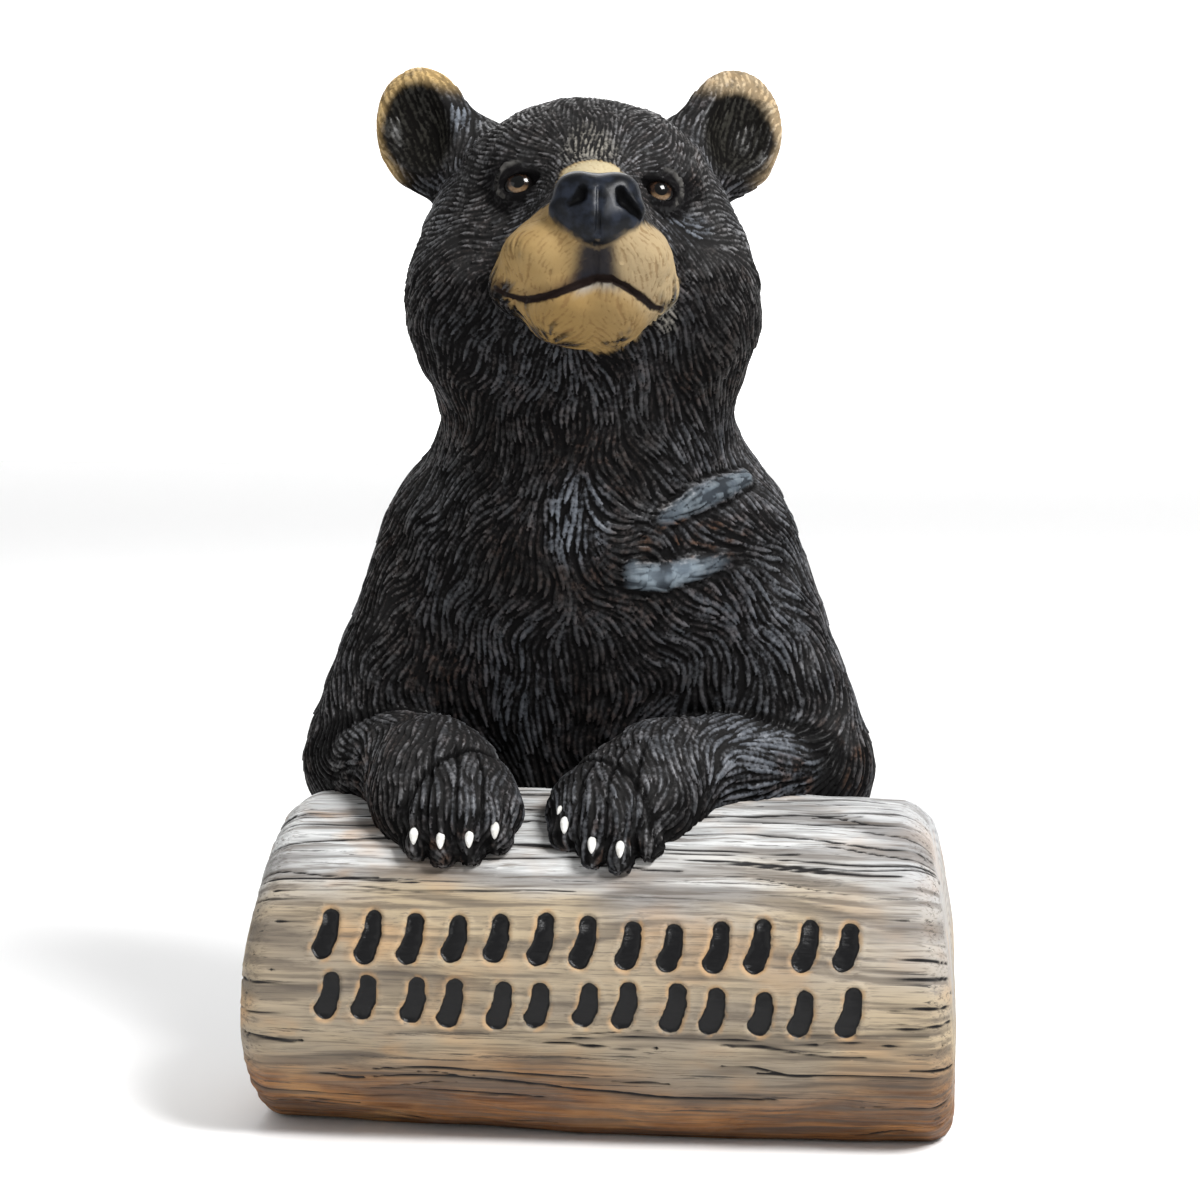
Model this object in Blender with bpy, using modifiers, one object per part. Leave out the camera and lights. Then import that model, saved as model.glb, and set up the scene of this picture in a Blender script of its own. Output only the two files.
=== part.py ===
"""Garden statue of a black bear that leans over a short log, cast in resin as one piece.

The form is built up as a modeller builds clay: named lumps and limbs are pressed together, each with a soft
join of its own, and hollows are pressed in. Metres, +Z up, the bear looks along -Y, and the origin is at the
middle of the footprint's box, on the ground.
"""

from collections import namedtuple
from math import cos, pi, radians, sin

import bmesh
import bpy
import numpy as np
from mathutils import Euler, Matrix, Vector

# Driving sizes of the casting.
HEIGHT = 0.345
LOG_LENGTH = 0.2280
LOG_RADIUS = 0.0565
LOG_AXIS_Y = -0.0270
LOG_AXIS_Z = 0.0515
BODY_X = -0.0105

# The surface is remeshed this finely before it is thinned to its final triangles.
BLANK_VOXEL = 0.0018
FINAL_TRIANGLES = 9300
CLOSE_WORK = 8e-6

Lump = namedtuple("Lump", "frame radii soft")
Limb = namedtuple("Limb", "start end start_radius end_radius soft")


def place(x, y, z, pitch=0.0, yaw=0.0, roll=0.0, within=None):
    """A frame at a point, turned by degrees about X, Z and Y, inside another frame."""
    turn = Euler((radians(pitch), radians(roll), radians(yaw)), "XYZ").to_matrix().to_4x4()
    frame = Matrix.Translation((x, y, z)) @ turn
    return within @ frame if within else frame


# --- the head: its own frame looks along local -Y, tipped back and turned a little to the bear's left ---

HEAD = place(-0.0115, 0.002, HEIGHT - 0.0640, pitch=-20.0, yaw=9.0, roll=1.5)


def head_lumps():
    """The skull, brow, cheeks, muzzle and jaw, before anything is pressed in."""
    lumps = [
        Lump(place(0, 0, 0, within=HEAD), (0.0520, 0.0530, 0.0500), 0.0),
        Lump(place(0, -0.030, 0.018, within=HEAD), (0.034, 0.025, 0.023), 0.012),
        Lump(place(-0.001, -0.0540, -0.0165, within=HEAD), (0.0205, 0.0325, 0.0150), 0.014),
        Lump(place(-0.001, -0.0570, -0.0372, within=HEAD), (0.0170, 0.0200, 0.0100), 0.003),
        Lump(place(0, -0.0845, -0.0080, pitch=4, within=HEAD), (0.0130, 0.0070, 0.0070), 0.0030),
        Lump(place(0, -0.0850, -0.0120, pitch=4, within=HEAD), (0.0160, 0.0065, 0.0068), 0.0030),
        Lump(place(0, -0.0855, -0.0160, pitch=4, within=HEAD), (0.0085, 0.0060, 0.0085), 0.0040),
    ]
    for side in (-1, 1):
        lumps += [
            Lump(place(side * 0.031, -0.006, -0.020, within=HEAD), (0.0265, 0.034, 0.030), 0.014),
            Lump(place(side * 0.0108 - 0.0020, -0.0625, -0.0232, yaw=side * 14, within=HEAD),
                 (0.0130, 0.0235, 0.0106), 0.011),
        ]
    return lumps


def bridge():
    """The top of the muzzle, from between the eyes to the nose."""
    root, tip = HEAD @ Vector((0, -0.050, 0.0005)), HEAD @ Vector((0, -0.0770, -0.0115))
    return Limb(tuple(root), tuple(tip), 0.0160, 0.0118, 0.008)


EAR_SIDE, EAR_BACK, EAR_UP = 0.0515, 0.001, 0.0445


def ear_frame(side):
    root = (side * EAR_SIDE - 0.001, EAR_BACK, EAR_UP + side * 0.001)
    return place(*root, pitch=4, yaw=side * 22, roll=side * 16, within=HEAD)


def ear_lumps(side):
    frame = ear_frame(side)
    return [
        Lump(frame, (0.0185, 0.0085, 0.0225), 0.004),
        Lump(place(-side * 0.009, 0.004, -0.013, within=frame), (0.016, 0.011, 0.014), 0.006),
    ]


def ear_cup(side):
    """The hollow that is pressed into an ear's front."""
    hollow = place(side * 0.001, -0.0130, 0.0005, within=ear_frame(side))
    return Lump(hollow, (0.0150, 0.0115, 0.0185), 0.003)


# --- the body: rump, belly, chest and shoulders, as one bell that narrows to the neck ---

def body_lumps():
    return [
        Lump(place(BODY_X, 0.036, 0.049), (0.078, 0.043, 0.070), 0.0),
        Lump(place(BODY_X - 0.050, 0.032, 0.050), (0.037, 0.040, 0.062), 0.020),
        Lump(place(BODY_X + 0.050, 0.032, 0.050), (0.037, 0.040, 0.062), 0.020),
        Lump(place(BODY_X, 0.024, 0.111), (0.072, 0.044, 0.064), 0.020),
        Lump(place(BODY_X, 0.006, 0.169), (0.056, 0.038, 0.052), 0.022),
        Lump(place(BODY_X, 0.026, 0.191), (0.052, 0.036, 0.050), 0.020),
    ]


def body_limbs():
    neck = Limb((BODY_X, 0.008, 0.195), (BODY_X, 0.006, 0.252), 0.0490, 0.0475, 0.018)
    limbs = [neck]
    for side in (-1, 1):
        shoulder = (BODY_X + side * 0.044, 0.010, 0.186)
        elbow = (BODY_X + side * 0.0690, 0.006, 0.1120)
        limbs.append(Limb(shoulder, elbow, 0.0250, 0.0275, 0.018))
    return limbs


# --- the forearms lie across the log, and the paws hang over its front ---

Arm = namedtuple("Arm", "elbow wrist paw toes")
LEFT_TOES = ((-0.0600, -0.0620), (-0.0520, -0.0665), (-0.0430, -0.0665), (-0.0350, -0.0630))
RIGHT_TOES = ((-0.0115, -0.0600), (-0.0035, -0.0660), (0.0060, -0.0675), (0.0150, -0.0650))
LEFT_ARM = Arm((-0.0800, -0.003, 0.1130), (-0.0575, -0.036, 0.1140), (-0.0475, -0.0520, 0.1060), LEFT_TOES)
RIGHT_ARM = Arm((0.0570, -0.003, 0.1140), (0.0200, -0.033, 0.1145), (0.0015, -0.0500, 0.1060), RIGHT_TOES)
TOE_RADIUS = 0.0063


def log_top(y):
    """Height of the log's surface above the ground at a distance back."""
    across = y - LOG_AXIS_Y
    return LOG_AXIS_Z + (LOG_RADIUS**2 - across**2) ** 0.5


def arm_limbs(arm):
    limbs = [Limb(arm.elbow, arm.wrist, 0.0215, 0.0178, 0.007)]
    for x, y in arm.toes:
        knuckle = Vector(arm.paw).lerp(Vector((x, arm.paw[1], arm.paw[2])), 0.8)
        tip = (x, y, log_top(y) + 0.6 * TOE_RADIUS)
        limbs.append(Limb(tuple(knuckle), tip, 1.15 * TOE_RADIUS, TOE_RADIUS, 0.002))
    return limbs


def paw_lump(arm):
    return Lump(place(*arm.paw, pitch=30), (0.0185, 0.0190, 0.0115), 0.006)


# --- distances: negative inside the clay, zero on its skin ---

def lump_distance(points, lump):
    inward = np.array(lump.frame.inverted())
    local = points @ inward[:3, :3].T + inward[:3, 3]
    radii = np.array(lump.radii)
    scaled = np.linalg.norm(local / radii, axis=1)
    slope = np.linalg.norm(local / radii**2, axis=1)
    return scaled * (scaled - 1) / np.maximum(slope, 1e-9)


def limb_distance(points, limb):
    start, end = np.array(limb.start), np.array(limb.end)
    along = np.clip((points - start) @ (end - start) / ((end - start) @ (end - start)), 0, 1)
    gap = np.linalg.norm(points - start - along[:, None] * (end - start), axis=1)
    return gap - limb.start_radius - along * (limb.end_radius - limb.start_radius)


def join(first, second, soft):
    """Two forms pressed together, with a fillet about as wide as soft."""
    if soft <= 0:
        return np.minimum(first, second)
    near = np.maximum(soft - np.abs(first - second), 0) / soft
    return np.minimum(first, second) - near * near * soft / 4


def press_in(clay, tool, soft):
    return -join(-clay, tool, soft)


def log_distance(points):
    """A thick, worn length of trunk along X: a little stouter at its right end, with rounded ends."""
    x, y, z = points.T
    half, edge = LOG_LENGTH / 2, 0.009
    angle = np.arctan2(z - LOG_AXIS_Z, y - LOG_AXIS_Y)
    radius = LOG_RADIUS + 0.007 * x - 0.0022 * (x / half) ** 2
    radius = radius + 0.0007 * np.sin(3 * angle + 14 * x) + 0.0005 * np.sin(5 * angle - 30 * x)
    length = half - 0.0100 * np.clip((z - 0.030) / 0.075, 0, 1.2) ** 2
    outward = np.hypot(y - LOG_AXIS_Y, z - LOG_AXIS_Z) - radius + edge
    past_end = np.abs(x) - length + edge
    outside = np.hypot(np.maximum(outward, 0), np.maximum(past_end, 0))
    return outside + np.minimum(np.maximum(outward, past_end), 0) - edge


def eyeball(side):
    return Lump(place(side * 0.0225, -0.0450, 0.0060, within=HEAD), (0.0064, 0.0064, 0.0060), 0.0025)


def bear_distance(points):
    clay = np.full(len(points), 1.0)
    for lump in head_lumps():
        clay = join(clay, lump_distance(points, lump), lump.soft)
    clay = join(clay, limb_distance(points, bridge()), bridge().soft)
    for side in (-1, 1):
        ear = np.full(len(points), 1.0)
        for lump in ear_lumps(side):
            ear = join(ear, lump_distance(points, lump), lump.soft)
        cup = ear_cup(side)
        ear = press_in(ear, lump_distance(points, cup), cup.soft)
        clay = join(clay, ear, 0.006)
        clay = join(clay, lump_distance(points, eyeball(side)), eyeball(side).soft)
    body = np.full(len(points), 1.0)
    for lump in body_lumps():
        body = join(body, lump_distance(points, lump), lump.soft)
    for limb in body_limbs():
        body = join(body, limb_distance(points, limb), limb.soft)
    clay = join(clay, body, 0.014)
    for arm in (LEFT_ARM, RIGHT_ARM):
        forearm = lump_distance(points, paw_lump(arm))
        for limb in arm_limbs(arm):
            forearm = join(forearm, limb_distance(points, limb), limb.soft)
        clay = join(clay, forearm, 0.004)
    return clay


def statue_distance(points):
    return join(bear_distance(points), log_distance(points), 0.002)


# --- the blank: overlapping balls and a drum, fused into one skin, then drawn onto the distances ---

def add_ball(blank, frame, radii):
    size = Matrix.Diagonal((*radii, 1))
    bmesh.ops.create_icosphere(blank, subdivisions=3, radius=1, matrix=frame @ size)


def add_limb(blank, limb):
    for share in np.linspace(0, 1, 7):
        centre = Vector(limb.start).lerp(Vector(limb.end), share)
        radius = limb.start_radius + share * (limb.end_radius - limb.start_radius)
        add_ball(blank, Matrix.Translation(centre), (radius,) * 3)


def blank_mesh():
    blank = bmesh.new()
    lumps = head_lumps() + ear_lumps(-1) + ear_lumps(1) + body_lumps()
    for lump in lumps + [paw_lump(LEFT_ARM), paw_lump(RIGHT_ARM)]:
        add_ball(blank, lump.frame, lump.radii)
    for limb in [bridge()] + body_limbs() + arm_limbs(LEFT_ARM) + arm_limbs(RIGHT_ARM):
        add_limb(blank, limb)
    drum = Matrix.Translation((0, LOG_AXIS_Y, LOG_AXIS_Z)) @ Matrix.Rotation(pi / 2, 4, "Y")
    bmesh.ops.create_cone(blank, cap_ends=True, segments=64, radius1=LOG_RADIUS, radius2=LOG_RADIUS,
                          depth=LOG_LENGTH - 0.01, matrix=drum)
    mesh = bpy.data.meshes.new("blank")
    blank.to_mesh(mesh)
    blank.free()
    return mesh


def applied(obj):
    """Puts an object's modifiers into its mesh."""
    graph = bpy.context.evaluated_depsgraph_get()
    mesh = bpy.data.meshes.new_from_object(obj.evaluated_get(graph))
    obj.modifiers.clear()
    obj.data = mesh


def points_of(mesh):
    points = np.empty(len(mesh.vertices) * 3, np.float32)
    mesh.vertices.foreach_get("co", points)
    return points.reshape(-1, 3).astype(float)


def draw_to_skin(mesh, steps=6, reach=1e-4):
    """Moves each point along the distance's slope until it lies on the skin."""
    points = points_of(mesh)
    for _ in range(steps):
        here = statue_distance(points)
        slope = np.stack(
            [statue_distance(points + reach * axis) - here for axis in np.eye(3)], axis=1
        ) / reach
        steep = np.maximum((slope * slope).sum(axis=1), 0.3)
        points -= np.clip(here / steep, -0.003, 0.003)[:, None] * slope
    mesh.vertices.foreach_set("co", points.astype(np.float32).ravel())
    mesh.update()


def detail_group(obj):
    """Weights that keep more triangles on the face and paws than on the back and the log."""
    points = points_of(obj.data)
    face = np.linalg.norm(points - np.array(HEAD @ Vector((0, -0.045, 0))), axis=1)
    close = np.clip(1.6 - face / 0.045, 0, 1)
    for arm in (LEFT_ARM, RIGHT_ARM):
        gap = np.linalg.norm(points - np.array(arm.paw) - [0, -0.008, 0], axis=1)
        close = np.maximum(close, np.clip(1.8 - gap / 0.018, 0, 1))
    group = obj.vertex_groups.new(name="plain areas")
    shares = np.round(20 * (1 - close)).astype(int)
    for share in np.unique(shares):
        group.add(np.where(shares == share)[0].tolist(), int(share) / 20, "REPLACE")
    return group


def cut_flat(mesh):
    """Saws the casting level along the ground, closes it, and centres the footprint on the origin."""
    work = bmesh.new()
    work.from_mesh(mesh)
    everything = work.verts[:] + work.edges[:] + work.faces[:]
    cut = bmesh.ops.bisect_plane(work, geom=everything, plane_co=(0, 0, 0), plane_no=(0, 0, -1),
                                 clear_outer=True, dist=1e-5)
    rim = [part for part in cut["geom_cut"] if isinstance(part, bmesh.types.BMEdge)]
    bmesh.ops.contextual_create(work, geom=rim)
    low = [min(v.co[axis] for v in work.verts) for axis in range(3)]
    high = [max(v.co[axis] for v in work.verts) for axis in range(3)]
    middle = Vector(((low[0] + high[0]) / 2, (low[1] + high[1]) / 2, low[2]))
    bmesh.ops.translate(work, verts=work.verts[:], vec=-middle)
    bmesh.ops.triangulate(work, faces=work.faces[:])
    bmesh.ops.recalc_face_normals(work, faces=work.faces[:])
    work.to_mesh(mesh)
    work.free()
    mesh.update()


def seat(mesh, stray=0.0004):
    """Brings the underside back to the ground plane exactly."""
    for vertex in mesh.vertices:
        if vertex.co.z < stray:
            vertex.co.z = 0.0
    mesh.update()


def painted_resin():
    material = bpy.data.materials.new("painted resin")
    material.use_nodes = True
    shader = material.node_tree.nodes["Principled BSDF"]
    shader.inputs["Base Color"].default_value = (0.035, 0.032, 0.033, 1)
    shader.inputs["Roughness"].default_value = 0.5
    shader.inputs["Metallic"].default_value = 0.0
    return material


def main():
    for old in list(bpy.data.objects):
        bpy.data.objects.remove(old)
    parts = bpy.data.collections.new("Bear leaning on a log")
    bpy.context.scene.collection.children.link(parts)

    statue = bpy.data.objects.new("bear_on_log", blank_mesh())
    parts.objects.link(statue)
    fuse = statue.modifiers.new("fuse the lumps", "REMESH")
    fuse.mode = "VOXEL"
    fuse.voxel_size = BLANK_VOXEL
    applied(statue)
    draw_to_skin(statue.data)
    cut_flat(statue.data)

    group = detail_group(statue)
    thin = statue.modifiers.new("thin the skin", "DECIMATE")
    thin.ratio = FINAL_TRIANGLES / len(statue.data.polygons)
    thin.use_collapse_triangulate = True
    thin.vertex_group = group.name
    thin.vertex_group_factor = CLOSE_WORK
    applied(statue)
    statue.vertex_groups.clear()
    seat(statue.data)
    statue.data.shade_smooth()
    statue.data.materials.append(painted_resin())


main()
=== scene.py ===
"""A black bear that leans over a short log: a garden statue, cast in resin in one piece and painted by hand.

The fine carving that the plain casting leaves out is worked here: the fur, the face, the eyes, the claws and
the grain of the log. Metres, +Z up, and the bear looks along -Y.
"""

from collections import deque, namedtuple
from itertools import product
from math import cos, pi, radians, sin

import bmesh
import bpy
import numpy as np
from mathutils import Euler, Matrix, Vector, noise
from mathutils.kdtree import KDTree


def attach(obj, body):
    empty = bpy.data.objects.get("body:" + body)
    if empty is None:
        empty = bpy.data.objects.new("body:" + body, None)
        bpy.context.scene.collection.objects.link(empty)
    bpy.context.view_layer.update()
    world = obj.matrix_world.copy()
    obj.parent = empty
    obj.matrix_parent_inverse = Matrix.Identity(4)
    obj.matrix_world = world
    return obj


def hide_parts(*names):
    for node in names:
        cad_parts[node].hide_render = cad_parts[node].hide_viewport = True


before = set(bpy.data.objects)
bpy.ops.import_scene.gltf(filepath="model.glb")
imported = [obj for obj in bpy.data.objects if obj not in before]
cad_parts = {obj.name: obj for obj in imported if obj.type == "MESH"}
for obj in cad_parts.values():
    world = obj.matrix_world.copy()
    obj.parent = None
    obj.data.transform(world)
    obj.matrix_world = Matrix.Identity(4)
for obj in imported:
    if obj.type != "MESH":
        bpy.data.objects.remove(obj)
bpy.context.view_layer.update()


# === The bear ===
# Hollow resin, cast with the log from a clay original whose fur was combed in long strands. It is black,
# dry-brushed with grey, blue and brown, with a tan muzzle, and painted highlights and shade lie over that.
# The one casting is kept in four sections, cut level at the neck and the waist and upright behind the arms.

HEIGHT = 0.345
BODY_X = -0.0105
TOE_RADIUS = 0.0063
LOG_LENGTH, LOG_RADIUS = 0.2280, 0.0565
LOG_AXIS_Y, LOG_AXIS_Z = -0.0270, 0.0515
# The clay was modelled a little forward of the middle of the footprint.
TO_MIDDLE = Vector((0.0, 0.0053, 0.0))

ROUGH_VOXEL = 0.0018
FINE_VOXEL = 0.00044
BEAR_TRIANGLES = 660000
NECK_CUT_Z, WAIST_CUT_Z, BACK_CUT_Y = 0.2290, 0.1460, 0.0240
FUR_HEIGHT, TUFT_HEIGHT = 0.00118, 0.00055
CREASE_DEPTH, TOE_GROOVE_DEPTH, LOCK_EDGE_DEPTH = 0.0010, 0.0008, 0.0005

Lump = namedtuple("Lump", "frame radii soft")
Limb = namedtuple("Limb", "start end start_radius end_radius soft")


def place(x, y, z, pitch=0.0, yaw=0.0, roll=0.0, within=None):
    """A frame at a point, turned by degrees about X, Z and Y, inside another frame."""
    turn = Euler((radians(pitch), radians(roll), radians(yaw)), "XYZ").to_matrix().to_4x4()
    made = Matrix.Translation((x, y, z)) @ turn
    return within @ made if within else made


HEAD = place(-0.0115, 0.002, HEIGHT - 0.0640, pitch=-20.0, yaw=9.0, roll=1.5)


def on_head(x, y, z):
    return tuple(HEAD @ Vector((x, y, z)))


def into(frame_of, points):
    """Points seen from inside a frame."""
    inward = np.array(frame_of.inverted(), np.float32)
    return points @ inward[:3, :3].T + inward[:3, 3]


def lump_distance(points, lump):
    local = into(lump.frame, points)
    radii = np.array(lump.radii, np.float32)
    scaled = np.linalg.norm(local / radii, axis=1)
    slope = np.linalg.norm(local / radii**2, axis=1)
    return scaled * (scaled - 1) / np.maximum(slope, 1e-9)


def limb_distance(points, limb):
    start, end = np.array(limb.start, np.float32), np.array(limb.end, np.float32)
    along = np.clip((points - start) @ (end - start) / ((end - start) @ (end - start)), 0, 1)
    gap = np.linalg.norm(points - start - along[:, None] * (end - start), axis=1)
    return gap - limb.start_radius - along * (limb.end_radius - limb.start_radius)


def join(first, second, soft):
    """Two forms pressed together, with a fillet about as wide as soft."""
    if soft <= 0:
        return np.minimum(first, second)
    near = np.maximum(soft - np.abs(first - second), 0) / soft
    return np.minimum(first, second) - near * near * soft / 4


def press_in(clay, tool, soft):
    return -join(-clay, tool, soft)


def fused(points, lumps=(), limbs=()):
    clay = np.full(len(points), 1.0, np.float32)
    for lump in lumps:
        clay = join(clay, lump_distance(points, lump), lump.soft)
    for limb in limbs:
        clay = join(clay, limb_distance(points, limb), limb.soft)
    return clay


def string_of(stops, radii, soft):
    """Limbs that follow one another through the stops."""
    return [
        Limb(*ends, *sizes, soft)
        for ends, sizes in zip(zip(stops, stops[1:]), zip(radii, radii[1:]))
    ]


# The head: skull, brow, cheeks, muzzle, jaw, and a broad nose with a square top.
HEAD_LUMPS = [
    Lump(place(0, 0, 0, within=HEAD), (0.0520, 0.0530, 0.0500), 0.0),
    Lump(place(0, -0.030, 0.018, within=HEAD), (0.034, 0.025, 0.023), 0.012),
    Lump(place(-0.001, -0.0540, -0.0165, within=HEAD), (0.0205, 0.0325, 0.0150), 0.014),
    Lump(place(-0.0085, -0.0555, -0.0368, within=HEAD), (0.0108, 0.0190, 0.0092), 0.003),
    Lump(place(0.0060, -0.0565, -0.0368, within=HEAD), (0.0108, 0.0190, 0.0092), 0.009),
]
NOSE_LUMPS = [
    Lump(place(0, y, z, pitch=4, within=HEAD), radii, 0.0030)
    for y, z, radii in (
        (-0.0845, -0.0085, (0.0132, 0.0070, 0.0062)),
        (-0.0850, -0.0130, (0.0148, 0.0066, 0.0062)),
        (-0.0855, -0.0166, (0.0120, 0.0062, 0.0056)),
        (-0.0855, -0.0196, (0.0068, 0.0056, 0.0050)),
    )
]
BRIDGE = Limb(on_head(0, -0.050, 0.0005), on_head(0, -0.0770, -0.0115), 0.0160, 0.0118, 0.008)
EAR_BACK, EAR_UP = 0.001, 0.0445
EAR_PLACES = {-1: (-0.0526, 0.0168), 1: (0.0494, 0.0180)}
EAR_FRAMES, EAR_LUMPS, EAR_CUPS, EYEBALLS, EYE_SLITS, LID_FOLDS = [], [], [], [], [], []
EYE_RADIUS = 0.0063
EYE_PLACES = {-1: (-0.0223, -0.0450, 0.0077), 1: (0.0211, -0.0450, 0.0065)}
for side in (-1, 1):
    HEAD_LUMPS += [
        Lump(place(side * 0.031, -0.006, -0.020, within=HEAD), (0.0265, 0.034, 0.030), 0.014),
        Lump(place(side * 0.0120 - 0.0022, -0.0605, -0.0242, yaw=side * 15, within=HEAD),
             (0.0138, 0.0245, 0.0112), 0.010),
    ]
    NOSE_LUMPS.append(
        Lump(place(side * 0.0062, -0.0838, -0.0058, pitch=4, within=HEAD), (0.0060, 0.0062, 0.0046), 0.0030)
    )
    ear_x, ear_width = EAR_PLACES[side]
    ear = place(ear_x, EAR_BACK, EAR_UP + side * 0.001, pitch=4, yaw=side * 22, roll=side * 16, within=HEAD)
    EAR_FRAMES.append(ear)
    EAR_LUMPS.append([
        Lump(ear, (ear_width, 0.0085, 0.0225), 0.004),
        Lump(place(-side * 0.009, 0.004, -0.013, within=ear), (0.016, 0.011, 0.014), 0.006),
    ])
    lip_corner = place(side * 0.0210 - 0.0025, -0.0530, -0.0290, yaw=side * 15, within=HEAD)
    HEAD_LUMPS.append(Lump(lip_corner, (0.0075, 0.0130, 0.0062), 0.007))
    cup = place(side * 0.001, -0.0130, 0.0005, within=ear)
    EAR_CUPS.append(Lump(cup, (ear_width - 0.0035, 0.0115, 0.0185), 0.003))
    ball = place(*EYE_PLACES[side], pitch=-4, yaw=side * 10, within=HEAD)
    EYEBALLS.append(ball)
    slit = place(0, -0.0084, -0.0011, roll=side * 12, within=ball)
    EYE_SLITS.append(Lump(slit, (0.0073, 0.0058, 0.0033), 0.0006))
    fold = [ball @ Vector((0.0078 * cos(turn), -0.0056 + 0.0020 * abs(cos(turn)), 0.0062 * sin(turn)))
            for turn in np.radians(np.linspace(-50, 230, 11))]
    fold_radii = [0.0005] + [0.0010] * 9 + [0.0005]
    LID_FOLDS.append(string_of([tuple(stop) for stop in fold], fold_radii, 0.0008))


def on_skin(x, z, deep=0.0):
    """The spot on the front of the head at a place across and up, or a little under the skin there."""
    depths = np.linspace(-0.105, -0.030, 301)
    column = np.array([on_head(x, y, z) for y in depths], np.float32)
    clay = join(fused(column, HEAD_LUMPS, [BRIDGE]), fused(column, NOSE_LUMPS), 0.0025)
    return on_head(x, depths[np.argmax(clay < 0)] + deep, z)


# The mouth runs from corner to corner under the muzzle, and the nose has a groove down to it.
MOUTH_LINE = (
    (-0.0298, -0.0318), (-0.0262, -0.0342), (-0.0215, -0.0362), (-0.0165, -0.0374), (-0.0120, -0.0370),
    (-0.0078, -0.0355), (-0.0038, -0.0335), (0.0002, -0.0322), (0.0048, -0.0328), (0.0095, -0.0350),
    (0.0145, -0.0368), (0.0185, -0.0370), (0.0212, -0.0360),
)
MOUTH_RADII = [0.0005] + [0.0006] * 10 + [0.0005, 0.0004]
MOUTH = string_of([on_skin(*stop) for stop in MOUTH_LINE], MOUTH_RADII, 0.0008)
GROOVE = string_of([on_skin(0, z) for z in (-0.0085, -0.0130, -0.0180, -0.0225, -0.0270, -0.0322)],
                   [0.0004, 0.0005, 0.0006, 0.0009, 0.0010, 0.0008], 0.0006)
NOSTRILS = string_of([on_skin(-0.0050, -0.0094, -0.0004), on_skin(-0.0057, -0.0116, -0.0003),
                      on_skin(-0.0085, -0.0134, -0.0003)], [0.0014, 0.0016, 0.0008], 0.0010)
NOSTRILS += string_of([on_skin(0.0070, -0.0094, -0.0004), on_skin(0.0080, -0.0120, -0.0002),
                       on_skin(0.0106, -0.0142, -0.0003), on_skin(0.0131, -0.0160, -0.0002)],
                      [0.0014, 0.0020, 0.0016, 0.0007], 0.0010)


def head_distance(points):
    clay = fused(points, HEAD_LUMPS, [BRIDGE])
    clay = join(clay, fused(points, NOSE_LUMPS), 0.0025)
    for lumps, cup in zip(EAR_LUMPS, EAR_CUPS):
        ear_clay = press_in(fused(points, lumps), lump_distance(points, cup), cup.soft)
        clay = join(clay, ear_clay, 0.006)
    face = into(HEAD, points)[:, 1] < -0.036
    near, skin = points[face], clay[face]
    for ball, slit, fold in zip(EYEBALLS, EYE_SLITS, LID_FOLDS):
        lids = Lump(ball, (EYE_RADIUS + 0.0010,) * 3, 0.0)
        skin = join(skin, lump_distance(near, lids), 0.0035)
        skin = join(skin, fused(near, limbs=fold), 0.0010)
        skin = press_in(skin, lump_distance(near, slit), slit.soft)
    for cuts in (MOUTH, GROOVE, NOSTRILS):
        skin = press_in(skin, fused(near, limbs=cuts), cuts[0].soft)
    clay[face] = skin
    return clay


# The body: rump, belly, chest and shoulders, as one bell that narrows to the neck.
BODY_LUMPS = [
    Lump(place(BODY_X, 0.036, 0.049), (0.078, 0.043, 0.070), 0.0),
    Lump(place(BODY_X - 0.050, 0.032, 0.050), (0.037, 0.040, 0.062), 0.020),
    Lump(place(BODY_X + 0.050, 0.032, 0.050), (0.037, 0.040, 0.062), 0.020),
    Lump(place(BODY_X, 0.024, 0.111), (0.072, 0.044, 0.064), 0.020),
    Lump(place(BODY_X, 0.006, 0.169), (0.056, 0.038, 0.052), 0.022),
    Lump(place(BODY_X, 0.026, 0.191), (0.052, 0.036, 0.050), 0.020),
]
BODY_LIMBS = [Limb((BODY_X, 0.008, 0.195), (BODY_X, 0.006, 0.252), 0.0490, 0.0475, 0.018)]
for side in (-1, 1):
    shoulder, elbow = (BODY_X + side * 0.044, 0.010, 0.186), (BODY_X + side * 0.0690, 0.006, 0.1120)
    BODY_LIMBS.append(Limb(shoulder, elbow, 0.0250, 0.0275, 0.018))

# Two raised locks of longer fur on the right of the chest.
LOCKS = (
    string_of([(0.0082, -0.0348, 0.1826), (0.0098, -0.0352, 0.1798), (0.0180, -0.0322, 0.1797),
               (0.0298, -0.0238, 0.1825), (0.0420, -0.0140, 0.1848)],
              [0.0026, 0.0032, 0.0030, 0.0024, 0.0010], 0.003),
    string_of([(0.0180, -0.0308, 0.1985), (0.0264, -0.0238, 0.2035), (0.0345, -0.0158, 0.2065),
               (0.0430, -0.0050, 0.2095)], [0.0016, 0.0030, 0.0028, 0.0012], 0.003),
)

# The forearms lie across the log, and the paws hang over its front.
Arm = namedtuple("Arm", "elbow wrist paw toes")
LEFT_TOES = ((-0.0575, -0.0650), (-0.0486, -0.0665), (-0.0395, -0.0660), (-0.0318, -0.0630))
RIGHT_TOES = ((-0.0098, -0.0610), (-0.0006, -0.0665), (0.0084, -0.0675), (0.0165, -0.0645))
ARMS = (
    Arm((-0.0800, -0.003, 0.1130), (-0.0575, -0.036, 0.1140), (-0.0455, -0.0520, 0.1060), LEFT_TOES),
    Arm((0.0570, -0.003, 0.1140), (0.0200, -0.033, 0.1145), (0.0030, -0.0500, 0.1060), RIGHT_TOES),
)


def log_top(y):
    """Height of the log's surface above the ground at a distance back."""
    return LOG_AXIS_Z + (LOG_RADIUS**2 - (y - LOG_AXIS_Y)**2) ** 0.5


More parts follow.
